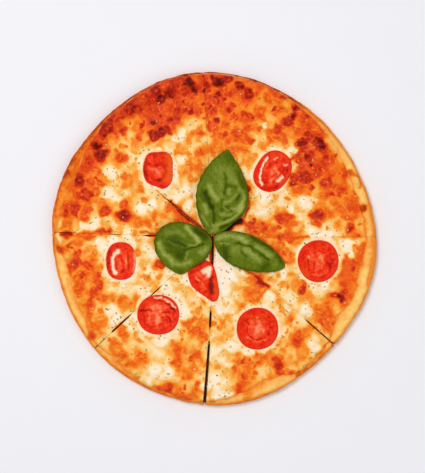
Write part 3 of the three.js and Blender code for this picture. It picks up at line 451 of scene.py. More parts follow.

# Lines along which sauce has come up and browned, and painted shadows of the basil leaves: [width, bake, places].
BROWNED_AND_SHADOW_STREAKS = [
    # First line: painted shadow of the top leaf beside the right leaf, over dark sauce in the cut. Second line:
    # dark sauce in the open cut and painted shadow under the leaves where they meet.
    (3, 1.1, [(3, 4), (12, 8.4), (23, 15)]), (2.4, 0.95, [(-0.5, -1), (-1.6, -10)]),
    (1.5, 0.8, [(-1.8, -12), (-2.6, -20)]), (3.6, 0.56, [(31, -35), (40, -42)]),
    (3, 0.63, [(34, -45), (38, -46.6)]), (3.4, 0.6, [(33, -48.4)]), (2, 0.72, [(44, -23), (54, -23.5)]),
    (2.4, 0.7, [(27, 1.5), (44, -3)]), (1.9, 0.82, [(-129, 4), (-122, 3.4)]),
    (1.8, 0.64, [(-116, 4), (-106, 0.6)]), (1.3, 0.64, [(-113, 5.2), (-88, 7.4)]),
    (1.4, 0.62, [(-109, 2), (-101, 2.5)]), (1.8, 0.77, [(-99, 6.8), (-93, 7.9), (-88.4, 7)]),
    (2, 0.9, [(-37, 32), (-30, 25.4), (-12, 10.4)]), (1, 0.5, [(-48, 41), (-38, 33)]),
    (3.4, 0.66, [(-38, 29), (-22, 16)]), (0.9, 0.74, [(-8, 139), (-5, 112), (-3.4, 92)]),
    (1.4, 0.64, [(52, 1), (82, 1.4)]), (2.2, 0.6, [(33, 7), (48, 3), (60, 1.6)]),
    (1.5, 0.72, [(65, 66), (77, 77)]), (1.6, 0.55, [(-19, 69), (-20, 50)]),
    # The first line here is the painted shadow under the right leaf's lower edge.
    (1.4, 0.7, [(23.6, -25.8), (31.6, -29), (37, -33)]), (2.4, 0.84, [(39, -35.4), (42.6, -38.2)]),
    (1.7, 0.84, [(37, -33.4), (43, -38), (46.6, -41)]), (2, 0.72, [(37, -38.4), (43, -41.4)]),
    (1.2, 0.62, [(47, -41.8), (42, -47.2), (38, -52), (31, -52.8)]), (1.2, 0.66, [(-42, 4), (-62, 6)]),
    # The two lines here are painted shadows of the basil leaves, below the top leaf and along the right leaf's
    # upper edge.
    (1.6, 0.7, [(24, 16), (34, 9)]), (1.6, 0.7, [(25, 3.4), (40, -2), (53, -9.6), (60.6, -20)]),
    # The two lines here are the painted shadow along the top leaf's right edge.
    (1.4, 0.7, [(28, 46), (30.8, 29), (27, 19)]), (1, 0.6, [(17, 74), (24, 58), (28, 46)]),
    (1.2, 0.62, [(-50, -3), (-47, 8), (-34, 14), (-22, 14)]), (1.4, 0.66, [(100, -82), (106, -88)]),
    (1.2, 0.62, [(-104, -84), (-112, -90)]), (1.4, 0.68, [(124, 38), (126, 46)]),
    (2, 0.62, [(-48, -131), (-34, -134), (-20, -137)]), (1.2, 0.6, [(-10, -139), (8, -139), (30, -133)]),
]

# Bake of the bare rim by direction.
RIM_BAKE = [
    (0, 0.38), (8, 0.27), (22, 0.2), (34, 0.25), (44, 0.42), (52, 0.48), (61, 0.68), (72, 0.74), (90, 0.74),
    (120, 0.7), (140, 0.66), (151, 0.71), (160, 0.62), (168, 0.59), (178, 0.49), (187, 0.34), (225, 0.31),
    (240, 0.49), (258, 0.47), (268, 0.24), (274, 0.26), (281, 0.46), (292, 0.34), (300, 0.27), (310, 0.36),
    (321, 0.34), (330, 0.24), (350, 0.28),
]

# Browned spots on the bare rim: [x, y, radius, bake], lines: [width, bake, places], and bubbles in it:
# [x, y, radius, height].
RIM_SPOTS = [
    (128.4, 26, 3.9, 0.76), (-131, -9, 3.4, 0.68), (-104, -83, 3.6, 0.66), (-124, 60, 5, 0.5),
    (-117, 74, 5, 0.52), (-129, 44, 5, 0.5), (-60, 134.6, 4.5, 0.98), (-85, -107, 4, 0.42),
    (73, -116, 3.4, 0.64), (79.5, -112.5, 2.4, 0.66), (104, -92, 3, 0.74), (-42, -129, 6, 0.62),
    (-30, -137, 4, 0.6), (93, -101, 3.4, 0.62), (60, 128, 4, 0.66), (-100, 99, 4, 0.6), (116.6, 56.6, 3.2, 0.68),
]
RIM_STREAKS = [
    (3.8, 0.38, [(118, 49), (121, 47)]), (1.9, 0.72, [(112.6, 54), (116, 56.6), (120, 56)]),
    (1.4, 0.6, [(120.4, 56), (124.8, 52.6), (126.4, 47), (124, 43.6)]),
    (1.6, 0.62, [(-123, 42), (-119, 56), (-111, 70)]), (3.4, 0.33, [(112, 68), (99, 85)]),
    (5, 0.61, [(115, -24), (114, -32)]), (2, 0.62, [(128, -4), (127, -16)]),
    (2.2, 0.4, [(-124, -34), (-117, -58)]), (2.4, 0.5, [(131, -40), (136.6, -15), (137, 10), (133, 33)]),
    (2, 0.4, [(-96, -93), (-84, -103)]),
]
RIM_BUBBLES = [
    (120, 49, 5.6, 1.1), (127.4, 26, 2.8, 0.6), (-128, -40, 5, 0.4), (-120, 66, 6, 0.6), (116, -76, 6, 0.5),
    (132, -22, 5, 0.4), (-99, -92, 5, 0.4), (48, -128, 7, 0.5), (20, -133, 5, 0.4), (-131, 22, 5, 0.4),
    (108, 82, 4, 0.4), (124, -52, 5, 0.35), (-122, -62, 5, 0.4), (-77, -113, 5, 0.4),
]

# ---------------------------------------------------------------- numbers and noise


def srgb(code):
    """Linear RGB of an sRGB hex colour."""
    parts = [int(code[i:i + 2], 16) / 255 for i in (0, 2, 4)]
    return tuple(c / 12.92 if c <= 0.04045 else ((c + 0.055) / 1.055) ** 2.4 for c in parts)


def rgba(colour):
    """Opaque linear colour of an sRGB hex code or of a setting."""
    return (*(srgb(colour) if isinstance(colour, str) else colour), 1)


def smooth(low, high, value):
    """0 at low, 1 at high, with an easy start and end; low may be the larger one."""
    t = np.clip((value - low) / (high - low), 0, 1)
    return t * t * (3 - 2 * t)


def lattice(column, row, seed):
    """A repeatable number from 0 to 1 for each whole-number place."""
    h = (column.astype(np.int64) * 374761393 + row.astype(np.int64) * 668265263 + seed * 974711) & 0xFFFFFFFF
    h = ((h ^ (h >> 13)) * 1274126177) & 0xFFFFFFFF
    return ((h ^ (h >> 16)) & 0xFFFF) / 65535.0


def noise(x, y, size, seed):
    """Smooth bumps from -1 to 1 that are about size wide; each seed turns them another way."""
    turn = 0.7 + 1.9 * seed
    u = (x * math.cos(turn) - y * math.sin(turn)) / size
    v = (x * math.sin(turn) + y * math.cos(turn)) / size
    cu, cv = np.floor(u), np.floor(v)
    du, dv = u - cu, v - cv
    fu, fv = (t * t * t * (t * (6 * t - 15) + 10) for t in (du, dv))

    def slope(i, j):
        angle = 2 * math.pi * lattice(cu + i, cv + j, seed)
        return np.cos(angle) * (du - i) + np.sin(angle) * (dv - j)

    near = slope(0, 0) * (1 - fu) + slope(1, 0) * fu
    far = slope(0, 1) * (1 - fu) + slope(1, 1) * fu
    return 1.5 * (near * (1 - fv) + far * fv)


def layered(x, y, *layers):
    """Sum of noises [amount, width of a bump, seed]."""
    return sum(amount * noise(x, y, size, seed) for amount, size, seed in layers)


def along_lines(x, y, lines):
    """Sum of soft lines [width, amount, places]; a single place makes a round spot."""
    total = np.zeros_like(x)
    for width, amount, places in lines:
        away = np.full_like(x, np.inf)
        for (ax, ay), (bx, by) in zip(places, places[1:] or places):
            span = max((bx - ax) ** 2 + (by - ay) ** 2, 1e-9)
            part = np.clip(((x - ax) * (bx - ax) + (y - ay) * (by - ay)) / span, 0, 1)
            away = np.minimum(away, np.hypot(x - ax - part * (bx - ax), y - ay - part * (by - ay)))
        total += amount * np.exp(-((away / width) ** 2))
    return total


def wander(x, y, seed):
    """Places shifted a little, so that what is round in them gets a melted, uneven edge."""
    dx, dy = (
        layered(x, y, (1.4, 9, first), (0.7, 4.2, first + 1), (0.12, 1.8, first + 2))
        for first in (seed, seed + 3)
    )
    return x + dx, y + dy


# ---------------------------------------------------------------- outline and heights


def polar(x, y):
    """Distance and direction, in degrees, from the middle."""
    return np.hypot(x, y), np.degrees(np.arctan2(y, x)) % 360


def on_rim(direction):
    """Place on the plain round rim, where noise that follows the rim is read."""
    return PIZZA_RADIUS * np.cos(np.radians(direction)), PIZZA_RADIUS * np.sin(np.radians(direction))


def outline_radius(direction):
    """Radius of the pizza, with the slow waves of its outline."""
    radius = PIZZA_RADIUS
    for waves, swell, crest in OUTLINE_WAVES:
        radius = radius + swell * np.cos(waves * np.radians(direction - crest))
    return radius


def rim_inset(x, y):
    """Distance in from the outline, as a share of the plain round pizza."""
    radius, direction = polar(x, y)
    return np.maximum(PIZZA_RADIUS * (1 - radius / outline_radius(direction)), 0)


def topping_inset(direction, extra):
    """Width of rim that the topping leaves bare, less extra for a layer that reaches further out."""
    places, widths = zip(*BARE_RIM)
    inset = np.interp(direction, places, widths, period=360) - extra
    for waves, size, phase in EDGE_LOBES:
        inset = inset + size * np.cos(np.radians(waves * direction - phase))
    inset = inset + layered(*on_rim(direction), (0.7, 7, 5), (0.4, 3.5, 6))
    return np.maximum(inset, LEAST_BARE_RIM - extra / 2)


def sauce_margin(direction):
    """How far the sauce shows outside the cheese: in places, and hardly at all in others."""
    shown = smooth(0, 0.9, layered(*on_rim(direction), (1, 16, 7), (0.4, 5, 8)))
    return LEAST_SAUCE_MARGIN + (SAUCE_MARGIN - LEAST_SAUCE_MARGIN) * shown


def topping_depth(x, y, extra=0.0):
    """Distance in from the edge of the topping."""
    radius, direction = polar(x, y)
    return outline_radius(direction) - topping_inset(direction, extra) - radius


def crown_share(direction):
    """Height of the crown as a share of its usual one: lower at the top, where the topping covers it."""
    share = 1
    for waves, part, phase in CROWN_WAVES:
        share = share + part * np.cos(waves * np.radians(direction - phase))
    away = (direction - COVERED_CROWN["direction"] + 180) % 360 - 180
    return share - COVERED_CROWN["loss"] * np.exp(-((away / COVERED_CROWN["spread"]) ** 2))


def dough_top(x, y):
    """Upper side of the dough: flat base, inner flank, crown and outer shoulder, with its dents."""
    inset = rim_inset(x, y)
    direction = polar(x, y)[1]
    shoulder = np.clip(1 - inset / CROWN_INSET, 0, 1)
    arch = (1 - shoulder ** SHOULDER_POWER) ** (1 / SHOULDER_POWER)
    outer = SIDE_HEIGHT + (CROWN_HEIGHT - SIDE_HEIGHT) * arch
    inner = BASE_THICKNESS + (CROWN_HEIGHT - BASE_THICKNESS) * smooth(FLANK_INSET, CROWN_INSET, inset)
    height = np.where(inset < CROWN_INSET, outer, inner)
    height = height + np.maximum(height - BASE_THICKNESS, 0) * (crown_share(direction) - 1)
    dents = layered(x, y, (0.45, 15, 21), (0.22, 6, 22), (0.1, 2.6, 23))
    for bx, by, radius, rise in RIM_BUBBLES:
        away = np.hypot(x - bx, y - by) / radius
        dents = dents + rise * np.exp(-(away ** 4)) - 0.25 * rise * np.exp(-(((away - 1.15) / 0.2) ** 2))
    return height + dents * smooth(0, DENTS_FROM, inset) * smooth(FLANK_INSET, DENTS_TO, inset)


def uneven_side(x, y, z):
    """Places moved in or out a little, so that the outer side is lumpy like the rest of the crust."""
    near = smooth(*SIDE_LUMPS["inset"], rim_inset(x, y)) * smooth(*SIDE_LUMPS["height"], z)
    spread = 1 + 1.8 * z / PIZZA_RADIUS
    grow = 1 + near * layered(x * spread, y * spread, (0.5, 13, 24), (0.28, 5, 25)) / PIZZA_RADIUS
    return x * grow, y * grow


def dough_bottom(x, y):
    """Underside of the dough: flat, and rounded up to the side."""
    shoulder = np.clip(1 - rim_inset(x, y) / UNDERCUT_INSET, 0, 1)
    return SIDE_HEIGHT * (1 - (1 - shoulder ** UNDERCUT_POWER) ** (1 / UNDERCUT_POWER))


def sauce_top(x, y):
    """Upper side of the sauce, thin at its edge."""
    run = smooth(0, SAUCE_EDGE_RUN, topping_depth(x, y, sauce_margin(polar(x, y)[1])))
    return dough_top(x, y) + SAUCE_EDGE_THICKNESS + SAUCE_THICKNESS * run


def tomato_outline(tomato, angle):
    """Share of the plain oval's radius at an angle from its own first axis."""
    places, shares = zip(*tomato["outline"])
    bend = np.interp(np.degrees(angle) % 360, places, shares, period=360)
    return bend * (1 + tomato["square"] * np.cos(4 * (angle - math.pi / 4)))


def tomato_gap(tomato, x, y):
    """Distance outside the slice's outline, in mm; negative inside."""
    turn = math.radians(tomato["turn"])
    dx, dy = x - tomato["at"][0], y - tomato["at"][1]
    u = (dx * math.cos(turn) + dy * math.sin(turn)) / tomato["half"][0]
    v = (-dx * math.sin(turn) + dy * math.cos(turn)) / tomato["half"][1]
    return (np.hypot(u, v) / tomato_outline(tomato, np.arctan2(v, u)) - 1) * min(tomato["half"])


def nearest_tomato(x, y):
    """Distance outside the nearest tomato slice."""
    return np.minimum.reduce([tomato_gap(tomato, x, y) for tomato in TOMATOES.values()])


def cheese_top(x, y, browned, milk):
    """Upper side of the melted cheese, with its swells, blisters, wrinkles and the edge it ran out to."""
    relief = 0
    for size, length, direction, phase in CHEESE_SWELLS:
        along = x * math.cos(math.radians(direction)) + y * math.sin(math.radians(direction))
        relief = relief + size * np.sin(2 * math.pi * along / length + phase)
    for bx, by, radius in BLISTERS:
        relief = relief + BLISTER_HEIGHT * np.exp(-2 * ((x - bx) ** 2 + (y - by) ** 2) / radius ** 2)
    rough = layered(*wander(x, y, 31), (0.34, 6, 41), (0.26, 3, 42), (0.11, 1.7, 43))
    relief = relief + rough * (1 - 0.6 * milk) + 0.45 * browned + 0.25 * milk
    level = CHEESE_TOP + relief
    over_rim = dough_top(x, y) + CHEESE_LIFT + 0.5 * (rough + 0.5 * browned)
    full = np.logaddexp(CHEESE_BLEND * level, CHEESE_BLEND * over_rim) / CHEESE_BLEND
    floor = sauce_top(x, y) + LAYER_GAP
    edge = 0.1 + 0.9 * smooth(0, CHEESE_EDGE_RUN, topping_depth(x, y)) ** 0.7
    height = floor + (full - floor) * edge
    gap = nearest_tomato(x, y)
    height = height + COLLAR["rise"] * np.exp(-(((gap - COLLAR["away"]) / COLLAR["width"]) ** 2))
    pocket = smooth(*POCKET_EDGE, gap)
    return height + (np.minimum(TOMATO_SEAT - POCKET_DROP, height) - height) * pocket


# ---------------------------------------------------------------- baking


def seeded_mottles():
    """Small scattered toasted spots: more of them, and darker, where the top is baked more."""
    rng = np.random.default_rng(8)
    spots = []
    for _ in range(MOTTLE_TRIES):
        x, y = rng.uniform(-PIZZA_RADIUS, PIZZA_RADIUS, 2)
        size, shade, chance = rng.uniform(0, 1, 3)
        here = bake_regions(np.array([x]), np.array([y]))[0]
        if np.hypot(x, y) < PIZZA_RADIUS and chance < 0.35 + here:
            spots.append((x, y, 1.1 + 2.2 * size ** 2, here + 0.04 + 0.2 * shade))
    return spots


def bake_regions(x, y):
    """The slow change of the bake over the pizza."""
    total = np.full_like(x, 0.05)
    level = total * REGION_BACKGROUND
    for rx, ry, radius, bake in BAKE_REGIONS:
        weight = np.exp(-((x - rx) ** 2 + (y - ry) ** 2) / radius ** 2)
        total = total + weight
        level = level + weight * bake
    return level / total


def lobed_distance(x, y, sx, sy, radius):
    """Distance from a spot's middle in its radii, for a spot with an uneven, lobed edge."""
    turn = 2.4 * sx + 1.7 * sy
    stretch = 1 + 0.16 * math.sin(3.1 * sx + sy)
    u = (x - sx) * math.cos(turn) + (y - sy) * math.sin(turn)
    v = (y - sy) * math.cos(turn) - (x - sx) * math.sin(turn)
    angle = np.arctan2(v, u)
    lobes = 1
    for waves, size in ((2, 0.09), (3, 0.07), (4, 0.04), (5, 0.03)):
        lobes = lobes + size * np.cos(waves * angle + waves * sx + sy)
    return np.hypot(u * stretch, v / stretch) / radius * lobes


def within_reach(x, y, sx, sy, reach):
    """Numbers of the places that a spot can reach."""
    return np.nonzero((np.abs(x - sx) < reach) & (np.abs(y - sy) < reach))[0]


def paint_spots(level, x, y, spots, halo):
    """Raises the bake to each spot's own inside it, and part of the way in a ring round it."""
    inside = np.zeros_like(x)
    for sx, sy, radius, bake in spots:
        near = within_reach(x, y, sx, sy, 2.6 * radius)
        if not len(near):
            continue
        away = lobed_distance(x[near], y[near], sx, sy, radius)
        ring = halo * np.exp(-((away / 1.3) ** 4))
        target = np.maximum(level[near], np.minimum(bake - 0.1, 0.58))
        level[near] += (target - level[near]) * ring
        core = smooth(*SPOT_EDGE, away)
        # In a spot of radius over 3 mm the middle shifts by up to 0.08 either way; where it comes out lighter, that
        # is a painted sheen on the blister's top.
        ringed = 0.08 * math.sin(5.3 * sx + 2 * sy) * np.exp(-((away / 0.55) ** 2)) if radius > 3 else 0
        level[near] += (np.maximum(bake - ringed, level[near]) - level[near]) * core
        inside[near] = np.maximum(inside[near], core)
    return inside


def paint_rim_marks(level, x, y):
    """Browned spots and rings that lie across the edge of the topping."""
    for width, bake, places in RIM_STREAKS:
        level += (bake - level) * np.minimum(along_lines(x, y, [(width, 1, places)]), 1)
    paint_spots(level, x, y, RIM_SPOTS, RIM_HALO)


def cheese_bake_and_painted_light(x, y, mottles):
    """Bake of the cheese at flat arrays of places, with painted shadows of the basil leaves and painted glints in
    it, and how far each is in a browned spot or milk pool.
    """
    wx, wy = wander(x, y, 51)
    level = bake_regions(wx, wy)
    patches = layered(wx, wy, (0.7, 12, 61), (0.5, 6, 62), (0.16, 2.6, 63))
    level += (0.19 - 0.11 * smooth(0.48, 0.66, level)) * np.tanh(2.2 * patches)
    paint_spots(level, wx, wy, mottles, MOTTLE_HALO)
    milk = np.zeros_like(x)
    for mx, my, radius in MILK_POOLS:
        near = within_reach(wx, wy, mx, my, 2.4 * radius)
        away = lobed_distance(wx[near], wy[near], mx, my, radius)
        milk[near] = np.maximum(milk[near], smooth(1.5, 0.6, away))
    gap = nearest_tomato(wx, wy) + layered(x, y, (2.2, 9, 71), (1.2, 4, 73))
    milk = np.maximum(milk, MILK_RING["share"] * smooth(*MILK_RING["reach"], gap))
    level += (MILK_BAKE + layered(x, y, (0.08, 4, 72), (0.06, 1.9, 74)) - level) * 0.88 * milk
    for width, bake, places in BROWNED_AND_SHADOW_STREAKS:
        level += np.maximum(bake - level, 0) * along_lines(wx, wy, [(width, 1, places)])
    inside = paint_spots(level, wx, wy, BROWNED_SPOTS, SPOT_HALO)
    level += inside * (layered(x, y, (0.07, 3.2, 81), (0.05, 1.6, 82)) - 0.01)
    # Thin lighter streaks in the red and browned cheese: painted glints of the oil on it.
    painted_glints = smooth(0.3, 0.9, noise(wx + 0.5 * wy, 1.9 * wy, 3.4, 75)) + smooth(0.35, 0.9, noise(x, y, 1.9, 76))
    level -= 0.15 * painted_glints * smooth(0.48, 0.6, level) * smooth(0.98, 0.84, level)
    edge = smooth(3, 0, topping_depth(x, y))
    level += (np.maximum(level, 0.52) - level) * 0.5 * edge
    paint_rim_marks(level, wx, wy)
    return np.clip(level, 0, 1), inside, milk * (1 - inside)


def crust_bake(x, y, z):
    """Bake of the dough: pale gold crown, orange side, browned spots and a leopard-spotted underside."""
    direction = polar(x, y)[1]
    inset = rim_inset(x, y)
    wx, wy = wander(x, y, 91)
    # The outer side is unrolled outwards, so that it gets blotches too, and no upright bars.
    down = np.maximum(CROWN_HEIGHT - z, 0) * smooth(CROWN_INSET + 6, CROWN_INSET, inset)
    spread = 1 + 1.2 * down / np.maximum(np.hypot(x, y), 50)
    sx, sy = wander(x * spread, y * spread, 91)
    level = np.interp(direction, *zip(*RIM_BAKE), period=360)
    crown = smooth(*CROWN_ZONE, z)
    uneven = layered(sx, sy, (0.08, 16, 92), (0.13, 6.5, 93), (0.08, 2.8, 94))
    level = level + uneven * (0.5 + 0.5 * crown)
    level = level - 0.07 * np.exp(-(((inset - 5.5) / 2.6) ** 2))
    # Darker towards the outer edge of the crown: partly the crust's own browned edge, partly painted shade at the
    # rim's outer edge.
    level = level + np.maximum(0.66 - level, 0.06) * 0.75 * smooth(4.4, 0.4, inset) * crown
    level = level + np.maximum(0.7 - level, 0) * smooth(4.2, 1.4, z + 1.4 * noise(sx, sy, 9, 99))
    near_topping = smooth(-3.6 - 1.6 * noise(sx, sy, 7, 97), 0.4, topping_depth(x, y)) * crown
    level = level + np.maximum(0.58 - level, 0) * near_topping * (0.7 + 0.5 * noise(sx, sy, 5, 98))
    marked = level.copy()
    paint_rim_marks(marked, wx, wy)
    level = level + (marked - level) * smooth(6, 9, z)
    blotches = 0.42 + 0.5 * smooth(0.1, 0.75, layered(x, y, (1, 13, 95), (0.5, 5, 96)))
    blotches = blotches * smooth(PIZZA_RADIUS + 5, 40, np.hypot(x, y)) * 0.4 + blotches * 0.6
    under = smooth(*UNDERSIDE_ZONE, z)
    return np.clip(level * (1 - under) + blotches * under, 0, 1)


# ---------------------------------------------------------------- meshes


def add_object(name, data):
    """Puts a mesh, light or camera into the scene."""
    made = bpy.data.objects.new(name, data)
    bpy.context.scene.collection.objects.link(made)
    return made


def new_piece(name, mesh, slot, *nodes):
    """Makes the object that stands for these solids and moves with them."""
    piece = add_object(name, mesh)
    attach(piece, "root")
    if nodes:
        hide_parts(*nodes)
    return piece


def quads(a, b, c, d):
    """Four-cornered faces from arrays of point numbers."""
    return np.stack([a, b, c, d], -1).reshape(-1, 4)


def build_mesh(name, points, skin, materials, walls=None, wall_material=0):
    """Mesh from places in mm and quads, and the numbers of the places that it uses.

    Walls are the quads of knife cuts, which stay crisp.
    """
    used, order = np.unique(skin if walls is None else np.concatenate([skin, walls]), return_inverse=True)
    faces = [tuple(dict.fromkeys(face)) for face in order.reshape(-1, 4).tolist()]
    count = sum(len(face) > 2 for face in faces[:len(skin)])
    faces = [face for face in faces if len(face) > 2]
    mesh = bpy.data.meshes.new(name)
    mesh.from_pydata((points[used] * MM).tolist(), [], faces)
    on_skin = np.arange(len(faces)) < count
    mesh.polygons.foreach_set("use_smooth", on_skin)
    mesh.polygons.foreach_set("material_index", np.where(on_skin, 0, wall_material))
    for material in materials:
        mesh.materials.append(material)
    mesh.update()
    return mesh, used


def write_outward(work, mesh):
    """Turns all faces outwards and writes them to the mesh."""
    bmesh.ops.recalc_face_normals(work, faces=work.faces)
    work.to_mesh(mesh)
    work.free()


def set_attribute(mesh, name, values):
    """Gives each point a number that the mesh's material reads."""
    mesh.attributes.new(name, "FLOAT", "POINT").data.foreach_set("value", np.asarray(values, np.float32))


def side_angle(cut, out, side, gaps):
    """Direction, from the crossing, of a cut's side at a distance out."""
    places, widths = zip(*gaps)
    away = side * np.interp(out, places, widths) + cut["bow"] * np.sin(math.pi * out / CUT_REACH)
    return math.radians(cut["direction"]) + np.arcsin(np.clip(away / out, -1, 1))


def layer_gaps(cut, layer):
    """Half gaps [distance from the crossing, half gap] of a cut in one layer."""
    if layer == "cheese":
        return cut["cheese"]
    return list(zip((0, PIZZA_RADIUS / 2, PIZZA_RADIUS), cut["gap"]))


def crowded_rows(rows, crowding):
    """Shares of the way from the rim to the tip, closest together at the rim."""
    return (np.arange(rows + 1) / rows) ** crowding


def wedge_grid(number, layer, edge_radius, columns, inward, closing=0):
    """Net of places over one slice: rows from the rim (inward 0) to the tip (1), columns anticlockwise.

    With closing the cuts are narrower by that share, as they are at the bottom, where a knife ends.
    """
    first, second = CUTS[number], CUTS[(number + 1) % SLICES]
    first_gaps, second_gaps = layer_gaps(first, layer), layer_gaps(second, layer)
    lap = 2 * math.pi if second["direction"] < first["direction"] else 0
    opening = math.radians(second["direction"] - first["direction"]) + lap
    tip = max(first_gaps[0][1], second_gaps[0][1]) * (1 - 0.9 * closing) / math.sin(opening / 2)
    share = np.linspace(0, 1, columns + 1)

    def places(out, side=1):
        start = side_angle(first, out, side, first_gaps)
        end = side_angle(second, out, -side, second_gaps) + lap
        angle = start + share * (end - start)
        return CROSSING[0] + out * np.cos(angle), CROSSING[1] + out * np.sin(angle)

    reach = np.full(columns + 1, float(PIZZA_RADIUS))
    for _ in range(6):
        x, y = places(reach)
        radius, direction = polar(x, y)
        reach = reach + edge_radius(direction) - radius
    out = tip + (reach - tip) * (1 - inward[:, None])
    return places(out, 1 - closing * smooth(0, 0.012, inward)[:, None])


def wedge_mesh(name, grid, top, base, bottom, materials, wall_material=0):
    """Closed slice of one layer. Where top and bottom meet at the rim they share their points.

    Also returns, for each point, its place, its number in the net and whether it is on the upper side.
    """
    x, y = grid
    rows, columns = x.shape
    count = rows * columns
    upper = np.arange(count).reshape(rows, columns)
    lower = upper + count
    upper[-1] = upper[-1, 0]
    lower[-1] = lower[-1, 0]
    if np.allclose(top[0], bottom[0]):
        lower[0] = upper[0]
    skin = np.concatenate([
        quads(upper[:-1, :-1], upper[:-1, 1:], upper[1:, 1:], upper[1:, :-1]),
        quads(lower[:-1, :-1], lower[1:, :-1], lower[1:, 1:], lower[:-1, 1:]),
        quads(upper[0, :-1], lower[0, :-1], lower[0, 1:], upper[0, 1:]),
    ])
    walls = np.concatenate([
        quads(upper[:-1, 0], upper[1:, 0], lower[1:, 0], lower[:-1, 0]),
        quads(upper[:-1, -1], lower[:-1, -1], lower[1:, -1], upper[1:, -1]),
    ])
    points = np.concatenate([
        np.stack([x, y, top], -1).reshape(-1, 3), np.stack([*base, bottom], -1).reshape(-1, 3),
    ])
    mesh, used = build_mesh(name, points, skin, materials, walls, wall_material)
    return mesh, points[used], used % count, used < count


# ---------------------------------------------------------------- materials


def add_node(tree, kind, inputs=None, stops=None, out=0, **settings):
    """Adds a node with its settings, and returns the wanted one of its outputs.

    An input is given a value or another node's output, and a colour ramp its stops [place, colour].
    """
    node = tree.nodes.new(kind)
    for name, value in settings.items():
        setattr(node, name, value)
    for name, value in (inputs or {}).items():
        if isinstance(value, bpy.types.NodeSocket):
            tree.links.new(value, node.inputs[name])
        else:
            node.inputs[name].default_value = value
    if stops:
        elements = node.color_ramp.elements
        for element, (place, colour) in ((elements[0], stops[0]), (elements[1], stops[-1])):
            element.position, element.color = place, rgba(colour)
        for place, colour in stops[1:-1]:
            elements.new(place).color = rgba(colour)
    return node.outputs[out] if node.outputs else node


def new_material(name):
    """An empty node material, and its tree."""
    material = bpy.data.materials.new(name)
    material.use_nodes = True
    material.node_tree.nodes.clear()
    return material, material.node_tree


def add_grain(tree, level, *grains):
    """Adds noises [output, amount] to a level, each as far above it as below."""
    for source, amount in grains:
        part = add_node(tree, "ShaderNodeMath", {0: source, 1: amount, 2: -amount / 2}, operation="MULTIPLY_ADD")
        level = add_node(tree, "ShaderNodeMath", {0: level, 1: part})
    return level


def finish_material(material, inputs):
    """Ends a material with its shader."""
    shader = add_node(material.node_tree, "ShaderNodeBsdfPrincipled", inputs)
    add_node(material.node_tree, "ShaderNodeOutputMaterial", {"Surface": shader})
    return material


def baked_crust_material(settings):
    """Oven-baked wheat crust: dull, pale gold where it is soft and red-brown to black where it blistered."""
    material, tree = new_material("oven_baked_wheat_crust")
    place = add_node(tree, "ShaderNodeTexCoord", out="Object")
    bake = add_node(tree, "ShaderNodeAttribute", out="Fac", attribute_name="bake")
    # Blotches 4 mm wide and crumb grain 0.7 mm wide.
    blotch = add_node(tree, "ShaderNodeTexNoise", {"Vector": place, "Scale": 1 / 0.004, "Detail": 3})
    grain = add_node(tree, "ShaderNodeTexNoise", {"Vector": place, "Scale": 1 / 0.0007, "Detail": 2})
    level = add_grain(tree, bake, (blotch, 0.22), (grain, 0.1))
    colour = add_node(tree, "ShaderNodeValToRGB", {"Fac": level}, stops=[
        (0.0, "fee0a0"), (0.2, settings.pale), (0.36, "f8ae56"), (0.5, settings.golden),
        (0.64, "e2640f"), (0.76, "b4400e"), (0.88, "661c0a"), (1.0, "200e08"),
    ])
    # Crumbs and small bubbles 1.6 mm wide.
    relief = add_node(tree, "ShaderNodeTexNoise", {"Vector": place, "Scale": 1 / 0.0016, "Detail": 4})
    bump = add_node(tree, "ShaderNodeBump", {"Height": relief, "Distance": 0.0006, "Strength": 0.5})
    return finish_material(material, {
        "Base Color": colour, "Roughness": settings.roughness, "IOR": 1.45, "Specular IOR Level": 0.08,
        "Normal": bump,
    })


def bread_crumb_material():
    """Torn or cut inside of the crust: matt, full of small gas holes, and painted dark brown for the shade deep in
    the narrow cuts.
    """
    material, tree = new_material("wheat_bread_crumb")
    place = add_node(tree, "ShaderNodeTexCoord", out="Object")
    # Gas holes about 1.4 mm across, darkest in their middles as painted shade.
    holes = add_node(tree, "ShaderNodeTexVoronoi", {"Vector": place, "Scale": 1 / 0.0014})
    colour = add_node(tree, "ShaderNodeValToRGB", {"Fac": holes}, stops=[
        (0.0, "4e2a12"), (0.35, "965f2e"), (1.0, "c29058"),
    ])
    bump = add_node(tree, "ShaderNodeBump", {"Height": holes, "Distance": 0.0006, "Strength": 0.8})
    return finish_material(material, {"Base Color": colour, "Roughness": 0.85, "IOR": 1.45, "Normal": bump})


def cooked_sauce_material(settings):
    """Cooked tomato sauce: wet and red with pulp, orange where it is thin and the crust shows through."""
    material, tree = new_material("cooked_tomato_sauce")
    place = add_node(tree, "ShaderNodeTexCoord", out="Object")
    # Pulp 2.5 mm wide.
    pulp = add_node(tree, "ShaderNodeTexNoise", {"Vector": place, "Scale": 1 / 0.0025, "Detail": 4})
    red = add_node(tree, "ShaderNodeValToRGB", {"Fac": pulp}, stops=[
        (0.3, "9c2408"), (0.5, settings.red), (0.72, "ea6a24"),
    ])
    thin = add_node(tree, "ShaderNodeAttribute", out="Fac", attribute_name="thin")
    colour = add_node(tree, "ShaderNodeMix", {0: thin, 6: red, 7: rgba("ee8a38")}, out=2, data_type="RGBA")
    bump = add_node(tree, "ShaderNodeBump", {"Height": pulp, "Distance": 0.0008, "Strength": 0.6})
    return finish_material(material, {
        "Base Color": colour, "Roughness": 0.4, "IOR": 1.4, "Specular IOR Level": 0.2, "Normal": bump,
    })


